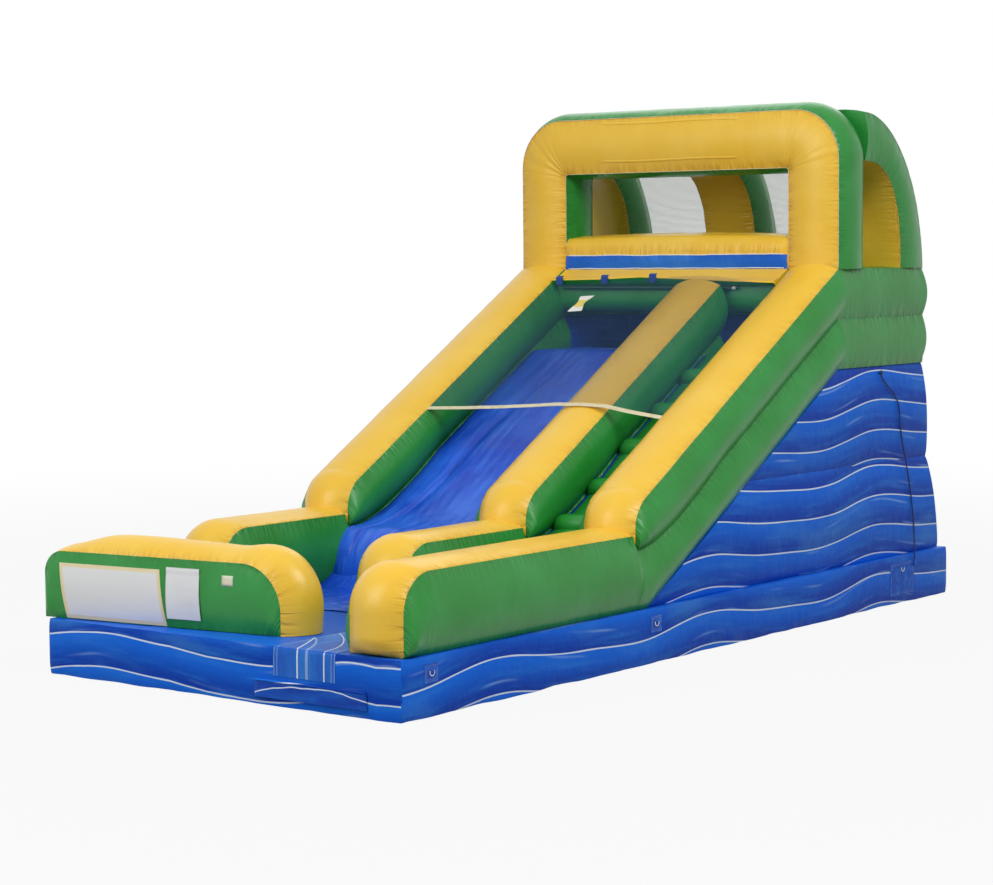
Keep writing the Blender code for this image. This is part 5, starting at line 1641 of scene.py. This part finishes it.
# Signs: blank panels on the bumper's front. The large one has a cream border, the smaller
# one hangs from a folded header, and there is a small square label and an exit plate.
def panel_look(name, face, rim, wide, high, border):
    """A plain coated panel with a border of another colour and a line of stitches in it."""
    look = Look(name, roughness=0.38, coat_weight=0.1)
    across, up, _ = look.axes(look.cloth())
    edge = across.math("MINIMUM", wide - across).math("MINIMUM", up).math("MINIMUM", high - up)
    grain = look.speckle(look.place(), 9.0, 2.0)
    shade = look.mix(edge.step(border, border + 0.004), colour(*rim), colour(*face))
    look.dress(base_color=look.mix(grain * 0.10, shade, colour(0.62, 0.62, 0.6)))
    look.relief(grain + (edge * 500.0).math("SINE") * 0.02, 0.004, 0.5)
    return look.material


push = (bumper_seat.to_3x3() @ Vector((0, 1, 0))).normalized()


def on_bumper(along, z):
    """A spot on the bumper's swollen front."""
    start = bumper_seat @ Vector((along, -0.3, z))
    return bumper_cover.ray_cast(start, push)[0] or start + push * 0.3


def bumper_ray(along, high, wide, tall, lean=0.0):
    return lambda u, v: (bumper_seat @ Vector((along + wide * u + lean * v, -0.3,
                                               high - tall * v)), push)


SIGN_SIZE = (1.0, 0.44)
SIGN = panel_look("sign_panel", (0.82, 0.82, 0.80), (0.86, 0.72, 0.42), *SIGN_SIZE, 0.028)
sign = add_piece("large_sign", laid_form(bumper_cover, 34, 16,
                                         bumper_ray(0.165, 0.895, *SIGN_SIZE, 0.06),
                                         SIGN_SIZE, 0.0025, 0.0015), [SIGN], smooth_angle=50)
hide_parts("sign_panel")
LABEL_SIZE = (0.106, 0.081)
LABEL = panel_look("label", (0.80, 0.74, 0.52), (0.62, 0.70, 0.50), *LABEL_SIZE, 0.010)
label = add_piece("square_label",
                  laid_form(bumper_cover, 4, 4, bumper_ray(1.767, 0.886, *LABEL_SIZE),
                            LABEL_SIZE, 0.002, 0.001), [LABEL])
FLAP_WIDE, FLAP_LONG = 0.32, 0.40
WHITE = panel_look("white_panel", (0.82, 0.82, 0.80), (0.74, 0.74, 0.73), FLAP_WIDE,
                   FLAP_LONG, 0.006)


def sign_flap_form():
    def spot(u, v):
        place = on_bumper(1.235 + FLAP_WIDE * u + 0.008 * v, 0.92 - FLAP_LONG * v)
        header = 0.004 if v < 0.11 else 0.0
        curl = 0.004 + 0.010 * v * (1 - u) ** 2 + 0.006 * v * u * u
        wave = 0.003 * soft_noise((u * 0.4, v * 0.4, 0), 0.2, 4.0)
        return place - push * (curl + header + max(-0.002, wave))
    return grid_sheet(16, 27, spot, (FLAP_WIDE, FLAP_LONG), 0.0012)


sign_flap = add_piece("hanging_sign", sign_flap_form(), [WHITE], body="sign", smooth_angle=50)
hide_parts("sign_flap")
PLATE_WIDE, PLATE_HIGH = 0.36, 0.09
PLATE = panel_look("exit_plate", (0.80, 0.66, 0.22), (0.70, 0.52, 0.12), PLATE_WIDE, PLATE_HIGH,
                   0.005)
plate = add_piece("exit_plate", laid_form(
    wall_covers["left_lower"], 14, 4,
    lambda u, v: (Vector((-1.70 + PLATE_WIDE * u, -3.2, 0.93 - PLATE_HIGH * v)),
                  Vector((0, 1, -0.25)).normalized()),
    (PLATE_WIDE, PLATE_HIGH), 0.002, 0.001), [PLATE])


# Hang tag: a blank tag of coated cloth, narrow at its middle, that lies on the net and is
# tied to it along its top edge.
TAG_MIDDLE = -0.723
TAG_TOP = 1.6182
TAG_WIDE, TAG_LONG = 0.16, 0.25
TAG_BEND = 0.04


def tag_form():
    def spot(u, v):
        waist = 1 - 0.42 * math.sin(math.pi * v) ** 2
        x = TAG_MIDDLE + TAG_WIDE * (0.5 + (u - 0.5) * waist)
        y = TAG_TOP - TAG_LONG * math.cos(slope) * v
        curl = 0.005 + 0.012 * math.sin(math.pi * v) * (2 * u - 1) ** 2
        lie = net_sag(x, y) * min(1.0, v / 0.3)
        return Vector((x, y, net_z(x, y) - lie + curl))
    return grid_sheet(10, 16, spot, (TAG_WIDE, TAG_LONG), 0.0012)


TAG = Look("tag_panel", roughness=0.4)
_, tag_down, _ = TAG.axes(TAG.cloth())
tag_band = tag_down.step(0.055, 0.065) * (1.0 - tag_down.step(0.175, 0.185))
TAG.dress(base_color=TAG.mix(tag_band, colour(0.8, 0.8, 0.77), colour(0.78, 0.62, 0.16)))
tag = add_piece("net_tag", tag_form(), [TAG.material], body=None, smooth_angle=50)
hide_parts("hang_tag")
tag_start, tag_bent = ((TAG_MIDDLE, y, net_z(TAG_MIDDLE, y))
                       for y in (TAG_TOP, TAG_TOP - TAG_BEND))
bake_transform(tag)
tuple(tag_start)
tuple(tag_bent)


# Anchors: stitched patches of the marble cloth on the base's sides, each with a loop that
# holds a steel ring for a ground stake. The rear ones are larger, and one has a pocket for
# the rope's end.
def patch_look(name, wide, high):
    look = Look(name, roughness=0.75)
    across, up, _ = look.axes(look.cloth())
    edge = across.math("MINIMUM", wide - across).math("MINIMUM", up).math("MINIMUM", high - up)
    rows = (edge - 0.012).math("ABSOLUTE").math("MINIMUM", (edge - 0.026).math("ABSOLUTE"))
    thread = (1.0 - rows.step(0.0008, 0.002)) * (((across + up) / 0.007).math("FRACT")
                                                 .math("GREATER_THAN", 0.3))
    spot = look.place()
    wear = look.speckle(spot, 12.0, 3.0)
    base = look.mix(wear.step(0.4, 0.8), colour(0.010, 0.085, 0.52), colour(0.03, 0.20, 0.68))
    look.dress(base_color=look.mix(thread * 0.4, base, colour(0.62, 0.76, 0.95)))
    look.relief(look.speckle(spot, 600.0, 1.0) * 0.4 - (1.0 - rows.step(0.0, 0.004)), 0.002)
    return look.material


PATCH_TOP = 0.39
EYE_Z = 0.34
EYE_X = 1.8398
SMALL_SIZE, LARGE_SIZE = (0.16, 0.14), (0.46, 0.31)
SMALL_PATCH = patch_look("small_patch", *SMALL_SIZE)
LARGE_PATCH = patch_look("large_patch", *LARGE_SIZE)


def anchor_form(sign, y, wide, high, pocket):
    way = Vector((-sign, 0, 0))

    def ray(u, v):
        return Vector((sign * 2.1, y - wide / 2 + wide * u, PATCH_TOP - high * v)), way

    face = laid_form(base_cover, max(4, round(wide / 0.03)), max(4, round(high / 0.03)), ray,
                     (wide, high), 0.003, 0.002)
    skin_x = WIDTH / 2 + 0.0034
    line = [(skin_x, EYE_Z + 0.034), (skin_x, EYE_Z + 0.016)]
    line += [(EYE_X + p.x, EYE_Z + p.y) for p in arc((0, 0), (0.0058, 0.0058), 130, -130, 14)]
    line += [(skin_x, EYE_Z - 0.016), (skin_x, EYE_Z - 0.034)]
    loop = skin(6, len(line) - 1, lambda i, j: (
        Vector((sign * line[j][0], y + (i / 6 - 0.5) * 0.036, line[j][1])),
        (0.08 + i * 0.006, 0.05 + j * 0.004), 0.0))
    parts = [face, thicken(loop, 0.0016)]
    if pocket:
        parts.append(rounded_block((0.024, 0.036, 0.05),
                                   (sign * (skin_x + 0.012), y + 0.22, PATCH_TOP - 0.025), 0.007, 3))
    return join_forms(parts)


STEEL = Look("zinc_steel", metallic=1.0)
zinc = STEEL.speckle(STEEL.place(), 60.0, 3.0)
STEEL.dress(base_color=STEEL.mix(zinc, colour(0.50, 0.51, 0.53), colour(0.72, 0.73, 0.75)),
            roughness=zinc * 0.2 + 0.22)
for side, sign_way in (("left", -1), ("right", 1)):
    for place, y in (("front", -3.80), ("middle", -0.92), ("rear", 3.22)):
        large = place == "rear"
        wide, high = LARGE_SIZE if large else SMALL_SIZE
        patch = add_piece(f"{side}_{place}_patch",
                          anchor_form(sign_way, y, wide, high, large and sign_way > 0),
                          [LARGE_PATCH if large else SMALL_PATCH], smooth_angle=40)
        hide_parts(f"{side}_{place}_anchor")
        bpy.data.objects[f"{side}_{place}_ring"].material_slots[0].material = STEEL.material
bpy.data.objects["zip_slider"].material_slots[0].material = STEEL.material


# Filling sleeve: a soft tube of the marble cloth at the back that a fan blows into, closed
# round the fan's spout by a strap with a buckle.
SLEEVE_X, SLEEVE_Z = -1.0, 0.22
SLEEVE_START, SLEEVE_END = 4.1303, 4.5800
TIE_Y = 4.43


def sleeve_form():
    def place(i, j):
        y = SLEEVE_START + (SLEEVE_END - SLEEVE_START) * j / 30
        turn = math.tau * i / 48
        near_tie = math.exp(-((y - TIE_Y - 0.015) / 0.035) ** 2)
        ripple = soft_noise((math.cos(turn) * 0.4, math.sin(turn) * 0.4, y * 0.5), 0.09, 3.0)
        crumple = soft_noise((math.cos(turn), math.sin(turn), y * 5), 0.5, 8.0)
        loose = min(1.0, (y - SLEEVE_START) / 0.05)
        radius = 0.1215 - (0.009 * abs(ripple) + 0.003 * crumple) * loose * (1 - 0.8 * near_tie)
        return (Vector((SLEEVE_X + math.cos(turn) * radius, y, SLEEVE_Z + math.sin(turn) * radius)),
                (y, turn * 0.12), near_tie)

    bm = skin(48, 30, place)
    bmesh.ops.remove_doubles(bm, verts=bm.verts, dist=0.0001)
    return thicken(bm, 0.0015)


def tie_form():
    def place(i, j):
        turn = math.tau * j / 48
        radius = 0.1240 + 0.0006 * math.cos(math.pi * (i / 4 * 2 - 1))
        return (Vector((SLEEVE_X + math.cos(turn) * radius, TIE_Y + 0.03 * i / 4,
                        SLEEVE_Z + math.sin(turn) * radius)), (turn * 0.12, i * 0.0075), 0.0)

    band = skin(4, 48, place)
    bmesh.ops.remove_doubles(band, verts=band.verts, dist=0.0001)
    buckle = rounded_block((0.030, 0.034, 0.005), (SLEEVE_X, TIE_Y + 0.015, SLEEVE_Z + 0.1292),
                           0.0018, 2)
    return join_forms([thicken(band, -0.0022), buckle])


sleeve = add_piece("sleeve", sleeve_form(), [MARBLE], smooth_angle=60)
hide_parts("filling_sleeve")
tie = add_piece("tie", tie_form(), [BLUE_WEB], smooth_angle=40)
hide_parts("sleeve_tie")

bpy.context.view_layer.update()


# Floor and light: a plain pale floor under soft light, with a large lamp at the front, one
# on the right and a weak one behind.
SKY = colour(0.93, 0.96, 1.0)
WHITE_LIGHT = colour(1.0, 1.0, 1.0)
lamps = (("key", (-3.0, -12.0, 8.0), 8.0, 530.0), ("fill", (10.0, -5.0, 11.0), 7.0, 900.0),
         ("back", (-4.0, 10.0, 10.0), 8.0, 180.0))


class Sky(Look):
    """The nodes of the world."""

    def __init__(self, world):
        world.use_nodes = True
        self.tree = world.node_tree


def seen_directly(look):
    """1 for what the camera sees, also in a mirror or through glass, and 0 for other light."""
    path = look.add("ShaderNodeLightPath").socket.node
    seen = Wire(look, path.outputs["Is Camera Ray"])
    for kind in ("Is Glossy Ray", "Is Transmission Ray"):
        seen = seen.math("MAXIMUM", Wire(look, path.outputs[kind]))
    return seen


scene.world = bpy.data.worlds.new("studio")
sky = Sky(scene.world)
_, _, height = sky.axes(sky.add("ShaderNodeTexCoord", out="Generated"))
dome = sky.add("ShaderNodeMapRange", sockets={0: height, 1: 0.0, 2: 1.0, 3: 0.27, 4: 0.62})
soft = sky.add("ShaderNodeBackground", sockets={0: SKY, 1: dome})
white = sky.add("ShaderNodeBackground", sockets={0: WHITE_LIGHT, 1: 1.0})
mixed = sky.add("ShaderNodeMixShader", sockets={0: seen_directly(sky), 1: soft, 2: white})
sky.fill(sky.tree.nodes["World Output"].inputs[0], mixed)

pale = Look("pale_floor", base_color=colour(0.28, 0.28, 0.28), roughness=0.9)
glow = pale.add("ShaderNodeEmission", sockets={0: WHITE_LIGHT, 1: 1.0})
far = pale.add("ShaderNodeVectorMath", {"operation": "LENGTH"}, {0: pale.place()}, 1)
share = seen_directly(pale) * (far.step(6.0, 20.0) * 0.08 + 0.92)
sockets = {0: share, 1: Wire(pale, pale.shader.outputs[0]), 2: glow}
mixed = pale.add("ShaderNodeMixShader", sockets=sockets)
pale.fill(pale.tree.nodes["Material Output"].inputs[0], mixed)
bm = bmesh.new()
bmesh.ops.create_grid(bm, x_segments=1, y_segments=1, size=150.0)
floor = add_piece("floor", bm, [pale.material], body=None)
for name, where, across, power in lamps:
    lamp = bpy.data.lights.new(name, "AREA")
    lamp.shape = "DISK"
    lamp.size = across
    lamp.energy = power
    item = bpy.data.objects.new(name, lamp)
    item.location = where
    item.rotation_euler = (Vector((0, 0, 1.5)) - Vector(where)).to_track_quat("-Z", "Y").to_euler()
    scene.collection.objects.link(item)
scene.view_settings.view_transform = "Standard"
